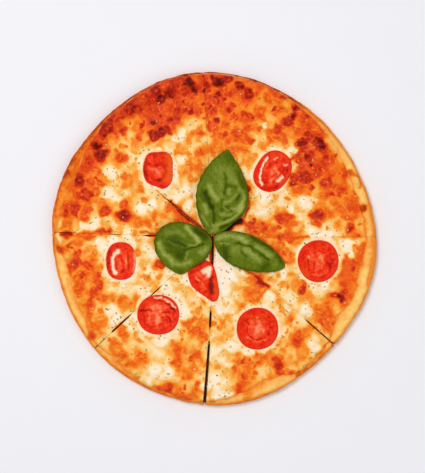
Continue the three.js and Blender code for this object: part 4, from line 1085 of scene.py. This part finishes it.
def melted_cheese_material(settings):
    """Melted mozzarella with tomato fat: satin, milk white to gold, red-brown where it blistered."""
    material, tree = new_material("melted_mozzarella")
    place = add_node(tree, "ShaderNodeTexCoord", out="Object")
    # Its bake also holds the painted shadows of the basil leaves and the painted glints.
    bake = add_node(tree, "ShaderNodeAttribute", out="Fac", attribute_name="bake")
    # Curds and fat spots 2 mm wide, and grain 0.8 mm wide.
    curd = add_node(tree, "ShaderNodeTexNoise",
                    {"Vector": place, "Scale": 1 / 0.002, "Detail": 3, "Distortion": 0.6})
    grain = add_node(tree, "ShaderNodeTexNoise", {"Vector": place, "Scale": 1 / 0.0008, "Detail": 2})
    level = add_grain(tree, bake, (curd, 0.15), (grain, 0.1))
    colour = add_node(tree, "ShaderNodeValToRGB", {"Fac": level}, stops=[
        (0.0, settings.milk), (0.13, "fce5c0"), (0.26, "fad08a"), (0.38, settings.gold), (0.48, "f5902a"),
        (0.58, "ef6a14"), (0.67, "e24816"), (0.76, settings.browned), (0.85, "90190b"), (0.93, "541003"),
        (1.0, "260f07"),
    ])
    # The fat spots are glossier than the curds, by 0.15 either way.
    roughness = add_grain(tree, settings.roughness, (curd, 0.3))
    # Wrinkles 1.8 mm wide.
    relief = add_node(tree, "ShaderNodeTexNoise", {"Vector": place, "Scale": 1 / 0.0018, "Detail": 3})
    bump = add_node(tree, "ShaderNodeBump", {"Height": relief, "Distance": 0.0007, "Strength": 0.45})
    return finish_material(material, {
        "Base Color": colour, "Roughness": roughness, "IOR": 1.46, "Specular IOR Level": 0.06, "Normal": bump,
    })


def tomato_material(settings):
    """Baked tomato flesh: wet and glossy, red pulp with a darker skin, a paler core and cream hollows."""
    material, tree = new_material("baked_tomato_flesh")
    place = add_node(tree, "ShaderNodeTexCoord", out="Object")
    pulp, cream, orange = (
        add_node(tree, "ShaderNodeAttribute", out="Fac", attribute_name=name)
        for name in ("pulp", "cream", "orange")
    )
    # Fibres about 1.2 mm wide.
    fibre = add_node(tree, "ShaderNodeTexNoise", {"Vector": place, "Scale": 1 / 0.0012, "Detail": 3})
    colour = add_node(tree, "ShaderNodeValToRGB", {"Fac": add_grain(tree, pulp, (fibre, 0.24))}, stops=[
        (0.0, settings.skin), (0.22, "b81804"), (0.42, settings.flesh), (0.6, "f03814"), (0.8, "f45a30"),
        (1.0, "f88a60"),
    ])
    for share, tint in ((orange, "ee560c"), (cream, "fadcb6")):
        colour = add_node(tree, "ShaderNodeMix", {0: share, 6: colour, 7: rgba(tint)}, out=2, data_type="RGBA")
    bump = add_node(tree, "ShaderNodeBump", {"Height": fibre, "Distance": 0.0005, "Strength": 0.5})
    return finish_material(material, {
        "Base Color": colour, "Roughness": settings.roughness, "IOR": 1.36, "Specular IOR Level": 0.07,
        "Normal": bump,
    })


def basil_material(settings):
    """Fresh basil: satin, deep green with lighter veins, painted sheen on the raised folds and painted shade in the
    creases.
    """
    material, tree = new_material("fresh_basil_leaf")
    place = add_node(tree, "ShaderNodeTexCoord", out="Object")
    shade = add_node(tree, "ShaderNodeAttribute", out="Fac", attribute_name="shade")
    # Leaf cells are too fine to show, so the mottling is drawn 1.2 mm wide.
    cells = add_node(tree, "ShaderNodeTexNoise", {"Vector": place, "Scale": 1 / 0.0012, "Detail": 4})
    colour = add_node(tree, "ShaderNodeValToRGB", {"Fac": add_grain(tree, shade, (cells, 0.44))}, stops=[
        (0.0, "2c3a02"), (0.25, settings.dark), (0.48, settings.green), (0.74, settings.light), (1.0, "a6ac5a"),
    ])
    bump = add_node(tree, "ShaderNodeBump", {"Height": cells, "Distance": 0.0004, "Strength": 0.4})
    return finish_material(material, {
        "Base Color": colour, "Roughness": settings.roughness, "IOR": 1.42, "Specular IOR Level": 0.06,
        "Normal": bump,
    })


def dried_herb_material():
    """Dried oregano: matt olive-brown flakes, some browned by the oven."""
    material, tree = new_material("dried_oregano")
    tone = add_node(tree, "ShaderNodeAttribute", out="Fac", attribute_name="tone")
    colour = add_node(tree, "ShaderNodeValToRGB", {"Fac": tone}, stops=[
        (0.0, "a08250"), (0.5, "c4ac74"), (1.0, "dccc9c"),
    ])
    return finish_material(material, {
        "Base Color": colour, "Roughness": 0.85, "IOR": 1.45, "Specular IOR Level": 0.08,
    })


def studio_floor_material(settings):
    """Smooth pale seamless paper with a faint tooth."""
    material, tree = new_material("seamless_paper")
    place = add_node(tree, "ShaderNodeTexCoord", out="Object")
    # Clouding 20 mm wide.
    tooth = add_node(tree, "ShaderNodeTexNoise", {"Vector": place, "Scale": 1 / 0.02, "Detail": 2})
    colour = add_node(tree, "ShaderNodeValToRGB", {"Fac": tooth}, stops=[
        (0.0, [0.985 * part for part in settings.floor]), (1.0, settings.floor),
    ])
    return finish_material(material, {"Base Color": colour, "Roughness": 0.9, "Specular IOR Level": 0.1})


# ---------------------------------------------------------------- tomato slices


def tomato_surface(tomato, ring, x, y):
    """Height, pulp tone, cream and orange of a slice's upper side, at a share of its radius and a place."""
    height = TOMATO_THICKNESS * np.interp(ring, *zip(*TOMATO_PROFILE))
    wx = x + layered(x, y, (0.7, 3.2, 101), (0.3, 1.3, 102))
    wy = y + layered(x, y, (0.7, 3.2, 103), (0.3, 1.3, 104))
    marks = along_lines(wx, wy, [(1.3 * width, 0.85 * amount, spots) for width, amount, spots in tomato["pulp"]])
    mottle = layered(wx, wy, (0.17, 5, 105), (0.16, 2.4, 106)) + 0.1 * noise(x, y, 1.3, 107)
    inner = smooth(0.93, 0.84, ring)
    pulp = tomato.get("tone", USUAL_TONE) + (mottle + marks) * (0.4 + 0.6 * inner) + 0.16 * smooth(0.7, 0.35, ring)
    pulp = pulp - 0.05 * np.exp(-(((ring - 0.78) / 0.08) ** 2)) - 0.1 * smooth(0.9, 1, ring)
    cream = np.clip(1.25 * along_lines(wx, wy, tomato["cream"]) - 0.1, 0, 1)
    orange = np.clip(along_lines(wx, wy, tomato["orange"]), 0, 1) * smooth(1, 0.93, ring)
    height = height + inner * (0.55 * np.clip(marks, -0.6, 0.4) + 0.8 * mottle) - 0.6 * cream
    return height, np.clip(pulp, 0, 1), cream, 0.9 * orange


def tomato_mesh(name, tomato, material, columns, rings):
    """Closed slice: flat underside, skin round the side and the uneven cut face on top."""
    shares = np.concatenate([[0.0, 0.6, 0.97], 1 - np.linspace(0, 1, rings) ** 1.1])
    angle = np.linspace(0, 2 * math.pi, columns, endpoint=False)
    ring, around = np.meshgrid(shares, angle, indexing="ij")
    share = ring * tomato_outline(tomato, around)
    turn = math.radians(tomato["turn"])
    u, v = tomato["half"][0] * share * np.cos(around), tomato["half"][1] * share * np.sin(around)
    x, y = u * math.cos(turn) - v * math.sin(turn), u * math.sin(turn) + v * math.cos(turn)
    height, pulp, cream, orange = tomato_surface(tomato, ring, x, y)
    height[:3] = 0
    pulp[:3], cream[:3], orange[:3] = 0.3, 0, 0
    points = np.stack([x + tomato["at"][0], y + tomato["at"][1], TOMATO_SEAT + height], -1).reshape(-1, 3)
    index = np.arange(len(points)).reshape(ring.shape)
    index[0] = index[0, 0]
    index[-1] = index[-1, 0]
    ahead = np.roll(index, -1, axis=1)
    mesh, used = build_mesh(name, points, quads(index[:-1], ahead[:-1], ahead[1:], index[1:]), [material])
    for label, values in (("pulp", pulp), ("cream", cream), ("orange", orange)):
        set_attribute(mesh, label, values.reshape(-1)[used])
    return mesh


def cut_tomato(mesh, cut, side):
    """Keeps what lies on one side of a knife cut, and closes it with a flat face."""
    centre = sum((v.co for v in mesh.vertices), Vector()) / len(mesh.vertices) / MM
    # Two places 10 mm apart on this side of the cut give its line.
    out = math.hypot(centre.x - CROSSING[0], centre.y - CROSSING[1]) - np.array([0, 10])
    angle = side_angle(cut, out, side, [(0, TOMATO_GAP)])
    x, y = CROSSING[0] + out * np.cos(angle), CROSSING[1] + out * np.sin(angle)
    at, before = Vector((x[0], y[0], 0)), Vector((x[1], y[1], 0))
    along = (at - before).normalized()
    across = Vector((-along.y, along.x, 0)) * side
    work = bmesh.new()
    work.from_mesh(mesh)
    found = bmesh.ops.bisect_plane(
        work, geom=[*work.verts, *work.edges, *work.faces], plane_co=at * MM, plane_no=-across,
        clear_outer=True,
    )
    edges = [part for part in found["geom_cut"] if isinstance(part, bmesh.types.BMEdge)]
    filled = bmesh.ops.edgeloop_fill(work, edges=edges)
    for face in filled["faces"]:
        face.smooth = False
    write_outward(work, mesh)


# ---------------------------------------------------------------- basil leaves


def leaf_half_width(width, widest, fullness, s):
    """Width of one side of a leaf along its length, widest at a share of it; less fullness is rounder."""
    bend = math.log(0.5) / math.log(widest)
    return width * np.maximum(np.sin(math.pi * s ** bend), 0) ** fullness


def leaf_surface(leaf, s, across):
    """Places of the middle of the leaf's thickness, and its tone, over its length and width."""
    base, bend, tip = (np.array(leaf[key], float) for key in ("base", "bend", "tip"))
    s3 = s[..., None]
    at = base * (1 - s3) ** 2 + 2 * bend * s3 * (1 - s3) + tip * s3 ** 2
    ahead = 2 * (1 - s3) * (bend - base) + 2 * s3 * (tip - bend)
    ahead = ahead / np.linalg.norm(ahead, axis=-1, keepdims=True)
    chord = (tip - base) / np.linalg.norm(tip - base)
    ahead = ahead + LEAF_CROSS_SHARE * (chord - ahead)
    ahead = ahead / np.linalg.norm(ahead, axis=-1, keepdims=True)
    right, left = (leaf_half_width(*leaf[key], s) for key in ("right", "left"))
    half = np.where(across < 0, right, left)
    half = half * (1 + 0.012 * np.sin(55 * s) * np.abs(across) ** 6)
    place, reach, share = leaf.get("nip", (0, 1, 0))
    half = half * (1 - share * np.exp(-(((s - place) / reach) ** 2)) * (across < 0))
    sway = np.sin(math.pi * s)
    rise = leaf["rise"] * sway * (1 - LEAF_EDGE_DROP * across ** 2)
    puff = leaf["puff"] * sway * (1 - across ** 2)
    groove = LEAF_GROOVE["depth"] * sway * np.exp(-((across / LEAF_GROOVE["width"]) ** 2))
    ripple = leaf["ripple"] * sway * across ** 2 * np.sin(LEAF_RIPPLE_TURN * s + 2 * np.sign(across))
    x = at[..., 0] - ahead[..., 1] * half * across
    y = at[..., 1] + ahead[..., 0] * half * across
    # Side veins leave the midrib and sweep forwards; the leaf puffs up a little between them.
    out = np.abs(across)
    run = (s - 0.2 * out ** 0.8 + 0.03 * np.sign(across)) / 0.09 + 0.25 * noise(x, y, 8, 111)
    between = np.abs(np.sin(math.pi * run))
    inner = smooth(1.0, 0.8, out) * smooth(0.0, 0.1, s) * smooth(1.0, 0.9, s)
    wx, wy = x + 0.8 * noise(x, y, 5, 112), y + 0.8 * noise(x, y, 5, 113)
    folds = [(1.2 * width, amount, places) for width, amount, places in leaf["folds"]]
    folds = along_lines(wx, wy, folds) * smooth(1.0, 0.86, out)
    fine = layered(x, y, (0.6, 3.4, 114), (0.4, 1.7, 115))
    relief = 0.65 * np.clip(folds, -0.7, 0.7) + (0.16 * between ** 0.6 + 0.14 * fine) * inner
    z = leaf["rest"] + LEAF_THICKNESS / 2 + rise + puff - groove + ripple + relief
    # The folds' lightness is painted light: painted highlights on the ridges and painted shade in the creases.
    tone = 0.46 + 0.85 * folds + 0.06 * (1 - between) ** 2 * inner + 0.09 * fine
    tone = tone - 0.16 * smooth(0.84, 1, out)
    return np.stack([x, y, z], -1), np.clip(tone, 0, 1)


def leaf_mesh(name, leaf, material, stations, lanes):
    """Thin wavy leaf with both faces, and a rounded edge between them."""
    share = (1 - np.cos(math.pi * np.linspace(0, 1, stations + 1))) / 2
    s, across = np.meshgrid(share, np.linspace(-1, 1, lanes + 1), indexing="ij")
    middle, tone = leaf_surface(leaf, s, across)
    thinned = LEAF_EDGE_SHARE + (1 - LEAF_EDGE_SHARE) * smooth(1, 0.9, np.abs(across))
    half = LEAF_THICKNESS / 2 * thinned
    lift = np.stack([np.zeros_like(half), np.zeros_like(half), half], -1)
    points = np.concatenate([(middle + lift).reshape(-1, 3), (middle - lift).reshape(-1, 3)])
    count = s.size
    upper = np.arange(count).reshape(s.shape)
    for row in (0, -1):
        upper[row] = upper[row, 0]
    lower = upper + count
    faces = np.concatenate([
        quads(upper[:-1, :-1], upper[1:, :-1], upper[1:, 1:], upper[:-1, 1:]),
        quads(lower[:-1, :-1], lower[:-1, 1:], lower[1:, 1:], lower[1:, :-1]),
        quads(upper[:-1, 0], lower[:-1, 0], lower[1:, 0], upper[1:, 0]),
        quads(upper[:-1, -1], upper[1:, -1], lower[1:, -1], lower[:-1, -1]),
    ])
    mesh, used = build_mesh(name, points, faces, [material])
    tone = tone.reshape(-1)
    set_attribute(mesh, "shade", np.concatenate([tone, tone + LEAF_BACK_PALER])[used])
    work = bmesh.new()
    work.from_mesh(mesh)
    write_outward(work, mesh)
    return mesh


# ---------------------------------------------------------------- dried herbs


def herb_tree(material):
    """Geometry Nodes that strew small bent flakes over the faces, thickest where the cheese is pale."""
    tree = bpy.data.node_groups.new("strewn_herbs", "GeometryNodeTree")
    for label, kind in (
        ("Geometry", "NodeSocketGeometry"), ("Flakes per square metre", "NodeSocketFloat"),
        ("Flake length", "NodeSocketFloat"), ("Seed", "NodeSocketInt"),
    ):
        tree.interface.new_socket(label, in_out="INPUT", socket_type=kind)
    tree.interface.new_socket("Geometry", in_out="OUTPUT", socket_type="NodeSocketGeometry")
    given = tree.nodes.new("NodeGroupInput").outputs
    pale = add_node(tree, "GeometryNodeInputNamedAttribute", {"Name": "pale"}, data_type="FLOAT")
    density = add_node(tree, "ShaderNodeMath", {0: pale, 1: given["Flakes per square metre"]},
                       operation="MULTIPLY")
    strewn = add_node(tree, "GeometryNodeDistributePointsOnFaces",
                      {"Mesh": given["Geometry"], "Density": density, "Seed": given["Seed"]})
    # A flake is a flat disc about 1 mm wide, bent by a noise 0.7 mm wide.
    flake = add_node(tree, "GeometryNodeMeshCone",
                     {"Vertices": 6, "Radius Top": 0.0002, "Radius Bottom": 0.0005, "Depth": 0.0002})
    spot = add_node(tree, "GeometryNodeInputPosition")
    crook = add_node(tree, "ShaderNodeTexNoise", {"Vector": spot, "Scale": 1400.0}, out="Color")
    push = add_node(tree, "ShaderNodeVectorMath", {0: crook, 1: (0.0009, 0.0009, 0.0003)}, operation="MULTIPLY")
    back = add_node(tree, "ShaderNodeVectorMath", {0: push, 1: (0.00045, 0.00045, 0.00005)},
                    operation="SUBTRACT")
    bent = add_node(tree, "GeometryNodeSetPosition", {"Geometry": flake, "Offset": back})
    spin = add_node(tree, "FunctionNodeRandomValue",
                    {"Min": (-0.35, -0.35, 0.0), "Max": (0.35, 0.35, 6.283), "Seed": 3}, data_type="FLOAT_VECTOR")
    size = add_node(tree, "FunctionNodeRandomValue",
                    {"Min": (0.5, 0.3, 0.5), "Max": (1.3, 0.8, 1.0), "Seed": 4}, data_type="FLOAT_VECTOR")
    stretch = add_node(tree, "ShaderNodeMath", {0: given["Flake length"], 1: 0.001}, operation="DIVIDE")
    scale = add_node(tree, "ShaderNodeVectorMath", {0: size, "Scale": stretch}, operation="SCALE")
    laid = add_node(tree, "GeometryNodeInstanceOnPoints",
                    {"Points": strewn, "Instance": bent, "Rotation": spin, "Scale": scale})
    tone = add_node(tree, "FunctionNodeRandomValue", {"Seed": 5}, out=1, data_type="FLOAT")
    toned = add_node(tree, "GeometryNodeStoreNamedAttribute", {"Geometry": laid, "Name": "tone", "Value": tone},
                     data_type="FLOAT", domain="INSTANCE")
    real = add_node(tree, "GeometryNodeRealizeInstances", {"Geometry": toned})
    done = add_node(tree, "GeometryNodeSetMaterial", {"Geometry": real, "Material": material})
    add_node(tree, "NodeGroupOutput", {0: done})
    return tree


# ---------------------------------------------------------------- settings


def colour_setting(name, description, code):
    """A colour that can be changed, with a hex code as its default."""
    return bpy.props.FloatVectorProperty(
        name=name, description=description, subtype="COLOR", size=3, default=srgb(code))


def roughness_setting(description, default):
    """How dull a material is, from 0 to 1."""
    return bpy.props.FloatProperty(
        name="Roughness", description=description, subtype="FACTOR", min=0, max=1, default=default)


class PizzaCrustSettings(bpy.types.PropertyGroup):
    pale: colour_setting("Pale crust", "Colour of the softly baked crown", "fcc768")
    golden: colour_setting("Golden crust", "Colour of the well baked side", "f38a26")
    roughness: roughness_setting("How dull the crust is", 0.62)


class PizzaSauceSettings(bpy.types.PropertyGroup):
    red: colour_setting("Sauce", "Colour of the cooked tomato sauce", "c23a12")


class PizzaCheeseSettings(bpy.types.PropertyGroup):
    milk: colour_setting("Milk white", "Colour of cheese that stayed white", "fff1e6")
    gold: colour_setting("Gold", "Colour of lightly toasted cheese", "f8b350")
    browned: colour_setting("Browned", "Colour of blistered cheese", "c02c10")
    roughness: roughness_setting("How dull the melted cheese is", 0.42)
    spacing: bpy.props.FloatProperty(
        name="Net spacing", description="Distance between rows of points", unit="LENGTH",
        min=0.0005, max=0.005, default=0.00075)


class PizzaTomatoSettings(bpy.types.PropertyGroup):
    flesh: colour_setting("Flesh", "Colour of the baked flesh", "e22408")
    skin: colour_setting("Skin", "Colour of the skin", "7c1206")
    roughness: roughness_setting("How dull the wet flesh is", 0.35)


# The dark green also stands for painted shade in the creases, and the light green for painted highlights on the
# raised parts.
class PizzaBasilSettings(bpy.types.PropertyGroup):
    dark: colour_setting("Dark green", "Colour of the folds", "425203")
    green: colour_setting("Green", "Colour of most of the leaf", "5f700f")
    light: colour_setting("Light green", "Colour of veins and raised parts", "869038")
    roughness: roughness_setting("How dull the leaf is", 0.5)


class PizzaHerbSettings(bpy.types.PropertyGroup):
    density: bpy.props.FloatProperty(
        name="Flakes per square metre", description="Number of flakes on pale cheese",
        min=0, max=100000, default=27000)
    length: bpy.props.FloatProperty(
        name="Flake length", description="Length of an average flake", unit="LENGTH",
        min=0.0002, max=0.005, default=0.0021)
    seed: bpy.props.IntProperty(name="Seed", description="Another seed strews them another way", default=4)


class PizzaStageSettings(bpy.types.PropertyGroup):
    floor: colour_setting("Floor", "Colour of the paper floor", "f0eff2")
    camera_height: bpy.props.FloatProperty(
        name="Camera height", description="Height of the camera over the table", unit="LENGTH",
        min=0.3, max=5, default=1.209)
    lens: bpy.props.FloatProperty(
        name="Lens", description="Focal length in mm", min=20, max=300, default=106.6)
    key: bpy.props.FloatProperty(
        name="Key light", description="Power of the large soft light", subtype="POWER", min=0, default=10.75)
    sky: bpy.props.FloatProperty(
        name="Room light", description="Strength of the even light from all round", min=0, default=0.51)


# ---------------------------------------------------------------- operators


class PizzaOperator(bpy.types.Operator):
    """What all steps share"""

    bl_options = {"REGISTER", "UNDO"}


class PIZZA_OT_stage(PizzaOperator):
    """Lay the pale floor and set the soft lights and the camera over it"""

    bl_idname = "pizza.stage"
    bl_label = "Stage"

    def execute(self, context):
        settings = context.scene.pizza_stage
        mesh = bpy.data.meshes.new("paper_floor")
        corners = [(-1, -1), (1, -1), (1, 1), (-1, 1)]
        points = [(FLOOR_HALF * x * MM, FLOOR_HALF * y * MM, -FLOOR_DROP * MM) for x, y in corners]
        mesh.from_pydata(points, [], [(0, 1, 2, 3)])
        mesh.materials.append(studio_floor_material(settings))
        floor = add_object("paper_floor", mesh)

        world = bpy.data.worlds.new("soft_room")
        world.use_nodes = True
        backdrop = world.node_tree.nodes["Background"]
        backdrop.inputs["Color"].default_value = ROOM_TINT
        backdrop.inputs["Strength"].default_value = settings.sky
        context.scene.world = world

        for label, place, size, share in LIGHTS:
            light = bpy.data.lights.new(label, "AREA")
            light.shape = "SQUARE"
            light.size = size * MM
            light.energy = share * settings.key
            lamp = add_object(label, light)
            lamp.location = Vector(place) * MM
            lamp.rotation_euler = (-lamp.location).to_track_quat("-Z", "Y").to_euler()

        lens = bpy.data.cameras.new("camera_over_table")
        lens.lens = settings.lens
        lens.sensor_width = SENSOR_WIDTH
        camera = add_object("camera_over_table", lens)
        camera.location = (CAMERA_PLACE[0] * MM, CAMERA_PLACE[1] * MM, settings.camera_height)
        context.scene.camera = camera
        context.scene.view_settings.view_transform = "Standard"
        return {"FINISHED"}


class PIZZA_OT_crust(PizzaOperator):
    """Bake the base and rim of the eight slices"""

    bl_idname = "pizza.crust"
    bl_label = "Crust"

    def execute(self, context):
        materials = [baked_crust_material(context.scene.pizza_crust), bread_crumb_material()]
        rows, columns, crowding = DOUGH_NET
        inward = crowded_rows(rows, crowding)
        for number in range(SLICES):
            grid = wedge_grid(number, "dough", outline_radius, columns, inward)
            base = wedge_grid(number, "dough", outline_radius, columns, inward, closing=CUT_CLOSING)
            top, bottom = dough_top(*grid), dough_bottom(*base)
            bottom[0] = top[0]
            grid, base = uneven_side(*grid, top), uneven_side(*base, bottom)
            name = f"baked_crust_{number + 1}"
            mesh, points, _, _ = wedge_mesh(name, grid, top, base, bottom, materials, wall_material=1)
            set_attribute(mesh, "bake", crust_bake(*points.T))
            new_piece(name, mesh, "baked_dough", f"dough_slice_{number + 1}")
        return {"FINISHED"}


class PIZZA_OT_sauce(PizzaOperator):
    """Spread the cooked tomato sauce on the eight slices"""

    bl_idname = "pizza.sauce"
    bl_label = "Sauce"

    def execute(self, context):
        material = cooked_sauce_material(context.scene.pizza_sauce)
        rows, columns, crowding = SAUCE_NET
        inward = crowded_rows(rows, crowding)
        for number in range(SLICES):
            grid = wedge_grid(
                number, "dough", lambda d: outline_radius(d) - topping_inset(d, sauce_margin(d)), columns, inward)
            name = f"cooked_sauce_{number + 1}"
            bottom = dough_top(*grid) + SAUCE_LIFT
            mesh, points, _, _ = wedge_mesh(name, grid, sauce_top(*grid), grid, bottom, [material])
            set_attribute(mesh, "thin", smooth(2.6, 0.4, topping_depth(points[:, 0], points[:, 1])))
            new_piece(name, mesh, "tomato_sauce", f"sauce_slice_{number + 1}")
        return {"FINISHED"}


class PIZZA_OT_cheese(PizzaOperator):
    """Melt and brown the cheese on the eight slices"""

    bl_idname = "pizza.cheese"
    bl_label = "Cheese"

    def execute(self, context):
        settings = context.scene.pizza_cheese
        material = melted_cheese_material(settings)
        spacing = settings.spacing / MM
        rows = round(PIZZA_RADIUS / spacing)
        inward = np.linspace(0, 1, rows + 1)
        mottles = seeded_mottles()
        for number in range(SLICES):
            opening = (CUTS[(number + 1) % SLICES]["direction"] - CUTS[number]["direction"]) % 360
            columns = round(math.radians(opening) * PIZZA_RADIUS / spacing)
            grid = wedge_grid(
                number, "cheese", lambda d: outline_radius(d) - topping_inset(d, 0), columns, inward)
            x, y = grid
            level, browned, milk = cheese_bake_and_painted_light(x.ravel(), y.ravel(), mottles)
            top = cheese_top(x, y, browned.reshape(x.shape), milk.reshape(x.shape))
            top = top - self.worn_edge(number, x, y)
            name = f"melted_cheese_{number + 1}"
            mesh, _, place, upper = wedge_mesh(name, grid, top, grid, sauce_top(x, y) + LAYER_GAP, [material])
            set_attribute(mesh, "bake", level[place])
            clear = nearest_tomato(x, y) > HERB_CLEARANCE["tomato"]
            clear &= topping_depth(x, y) > HERB_CLEARANCE["edge"]
            pale = np.where(clear.ravel(), 0.15 + smooth(0.5, 0.2, level), 0)
            set_attribute(mesh, "pale", np.where(upper, pale[place], 0))
            new_piece(name, mesh, "melted_cheese", f"cheese_slice_{number + 1}")
        return {"FINISHED"}

    @staticmethod
    def worn_edge(number, x, y):
        """How far the cheese dips along its two open cuts."""
        out = np.hypot(x - CROSSING[0], y - CROSSING[1])
        angle = np.arctan2(y - CROSSING[1], x - CROSSING[0])
        dip = 0
        for cut, side in ((CUTS[number], 1), (CUTS[(number + 1) % SLICES], -1)):
            gaps = layer_gaps(cut, "cheese")
            turn = angle - side_angle(cut, np.maximum(out, 0.1), side, gaps)
            away = out * np.abs((turn + math.pi) % (2 * math.pi) - math.pi)
            drop = np.minimum(WORN_EDGE["share"] * np.interp(out, *zip(*gaps)), WORN_EDGE["most"])
            dip = dip + drop * np.exp(-((away / WORN_EDGE["width"]) ** 2))
        return dip


class PIZZA_OT_tomatoes(PizzaOperator):
    """Lay the baked tomato slices in the cheese"""

    bl_idname = "pizza.tomatoes"
    bl_label = "Tomato slices"

    def execute(self, context):
        material = tomato_material(context.scene.pizza_tomato)
        for label, tomato in TOMATOES.items():
            name = f"baked_tomato_{label}"
            node = f"tomato_slice_{label}"
            if label not in DIVIDED_TOMATOES:
                new_piece(name, tomato_mesh(name, tomato, material, **TOMATO_NET), "tomato_flesh", node)
                continue
            cut, right, left = DIVIDED_TOMATOES[label]
            for part, side in ((right, -1), (left, 1)):
                mesh = tomato_mesh(f"{name}_{part}", tomato, material, **TOMATO_NET)
                cut_tomato(mesh, CUTS[cut], side)
                new_piece(f"{name}_{part}", mesh, "tomato_flesh", f"{node}_part_{part}")
        return {"FINISHED"}


class PIZZA_OT_basil(PizzaOperator):
    """Lay the three fresh basil leaves in the middle"""

    bl_idname = "pizza.basil"
    bl_label = "Basil leaves"

    def execute(self, context):
        material = basil_material(context.scene.pizza_basil)
        for label, leaf in LEAVES.items():
            name = f"fresh_basil_{label}"
            new_piece(name, leaf_mesh(name, leaf, material, **LEAF_NET), "basil", f"basil_leaf_{label}")
        return {"FINISHED"}


class PIZZA_OT_herbs(PizzaOperator):
    """Strew dried herbs over the cheese"""

    bl_idname = "pizza.herbs"
    bl_label = "Dried herbs"

    def execute(self, context):
        settings = context.scene.pizza_herbs
        work = bmesh.new()
        for number in range(SLICES):
            work.from_mesh(bpy.data.objects[f"melted_cheese_{number + 1}"].data)
        mesh = bpy.data.meshes.new("strewn_herbs")
        work.to_mesh(mesh)
        work.free()
        bed = add_object("strewn_herbs_bed", mesh)
        modifier = bed.modifiers.new("strewn_herbs", "NODES")
        modifier.node_group = tree = herb_tree(dried_herb_material())
        wanted = {
            "Flakes per square metre": settings.density, "Flake length": settings.length, "Seed": settings.seed,
        }
        for socket in tree.interface.items_tree:
            if socket.name in wanted:
                modifier[socket.identifier] = wanted[socket.name]
        context.view_layer.update()
        evaluated = bed.evaluated_get(context.evaluated_depsgraph_get())
        flakes = bpy.data.meshes.new_from_object(evaluated)
        bpy.data.objects.remove(bed)
        if not flakes.polygons:
            raise RuntimeError("no herb flakes were strewn")
        flakes.name = "dried_herb_flakes"
        new_piece("dried_herb_flakes", flakes, "basil")
        return {"FINISHED"}


class PIZZA_PT_panel(bpy.types.Panel):
    """Steps of making the pizza, in order"""

    bl_idname = "PIZZA_PT_panel"
    bl_label = "Margherita pizza"
    bl_space_type = "VIEW_3D"
    bl_region_type = "UI"
    bl_category = "Pizza"

    def draw(self, context):
        for label, _, operator in STEPS:
            box = self.layout.box()
            settings = getattr(context.scene, f"pizza_{label}")
            for name in settings.__annotations__:
                box.prop(settings, name)
            box.operator(operator.bl_idname)


# [name, settings, operator], in the order in which they are made.
STEPS = [
    ("stage", PizzaStageSettings, PIZZA_OT_stage), ("crust", PizzaCrustSettings, PIZZA_OT_crust),
    ("sauce", PizzaSauceSettings, PIZZA_OT_sauce), ("cheese", PizzaCheeseSettings, PIZZA_OT_cheese),
    ("tomato", PizzaTomatoSettings, PIZZA_OT_tomatoes), ("basil", PizzaBasilSettings, PIZZA_OT_basil),
    ("herbs", PizzaHerbSettings, PIZZA_OT_herbs),
]


def register():
    """Registers the settings, the steps and the panel."""
    for label, settings, operator in STEPS:
        bpy.utils.register_class(settings)
        setattr(bpy.types.Scene, f"pizza_{label}", bpy.props.PointerProperty(type=settings))
        bpy.utils.register_class(operator)
    bpy.utils.register_class(PIZZA_PT_panel)


def unregister():
    """Takes them out again."""
    bpy.utils.unregister_class(PIZZA_PT_panel)
    for label, settings, operator in reversed(STEPS):
        bpy.utils.unregister_class(operator)
        delattr(bpy.types.Scene, f"pizza_{label}")
        bpy.utils.unregister_class(settings)


def main():
    """Makes the whole pizza."""
    register()
    for _, _, operator in STEPS:
        group, name = operator.bl_idname.split(".")
        getattr(getattr(bpy.ops, group), name)()


if __name__ == "__main__":
    main()
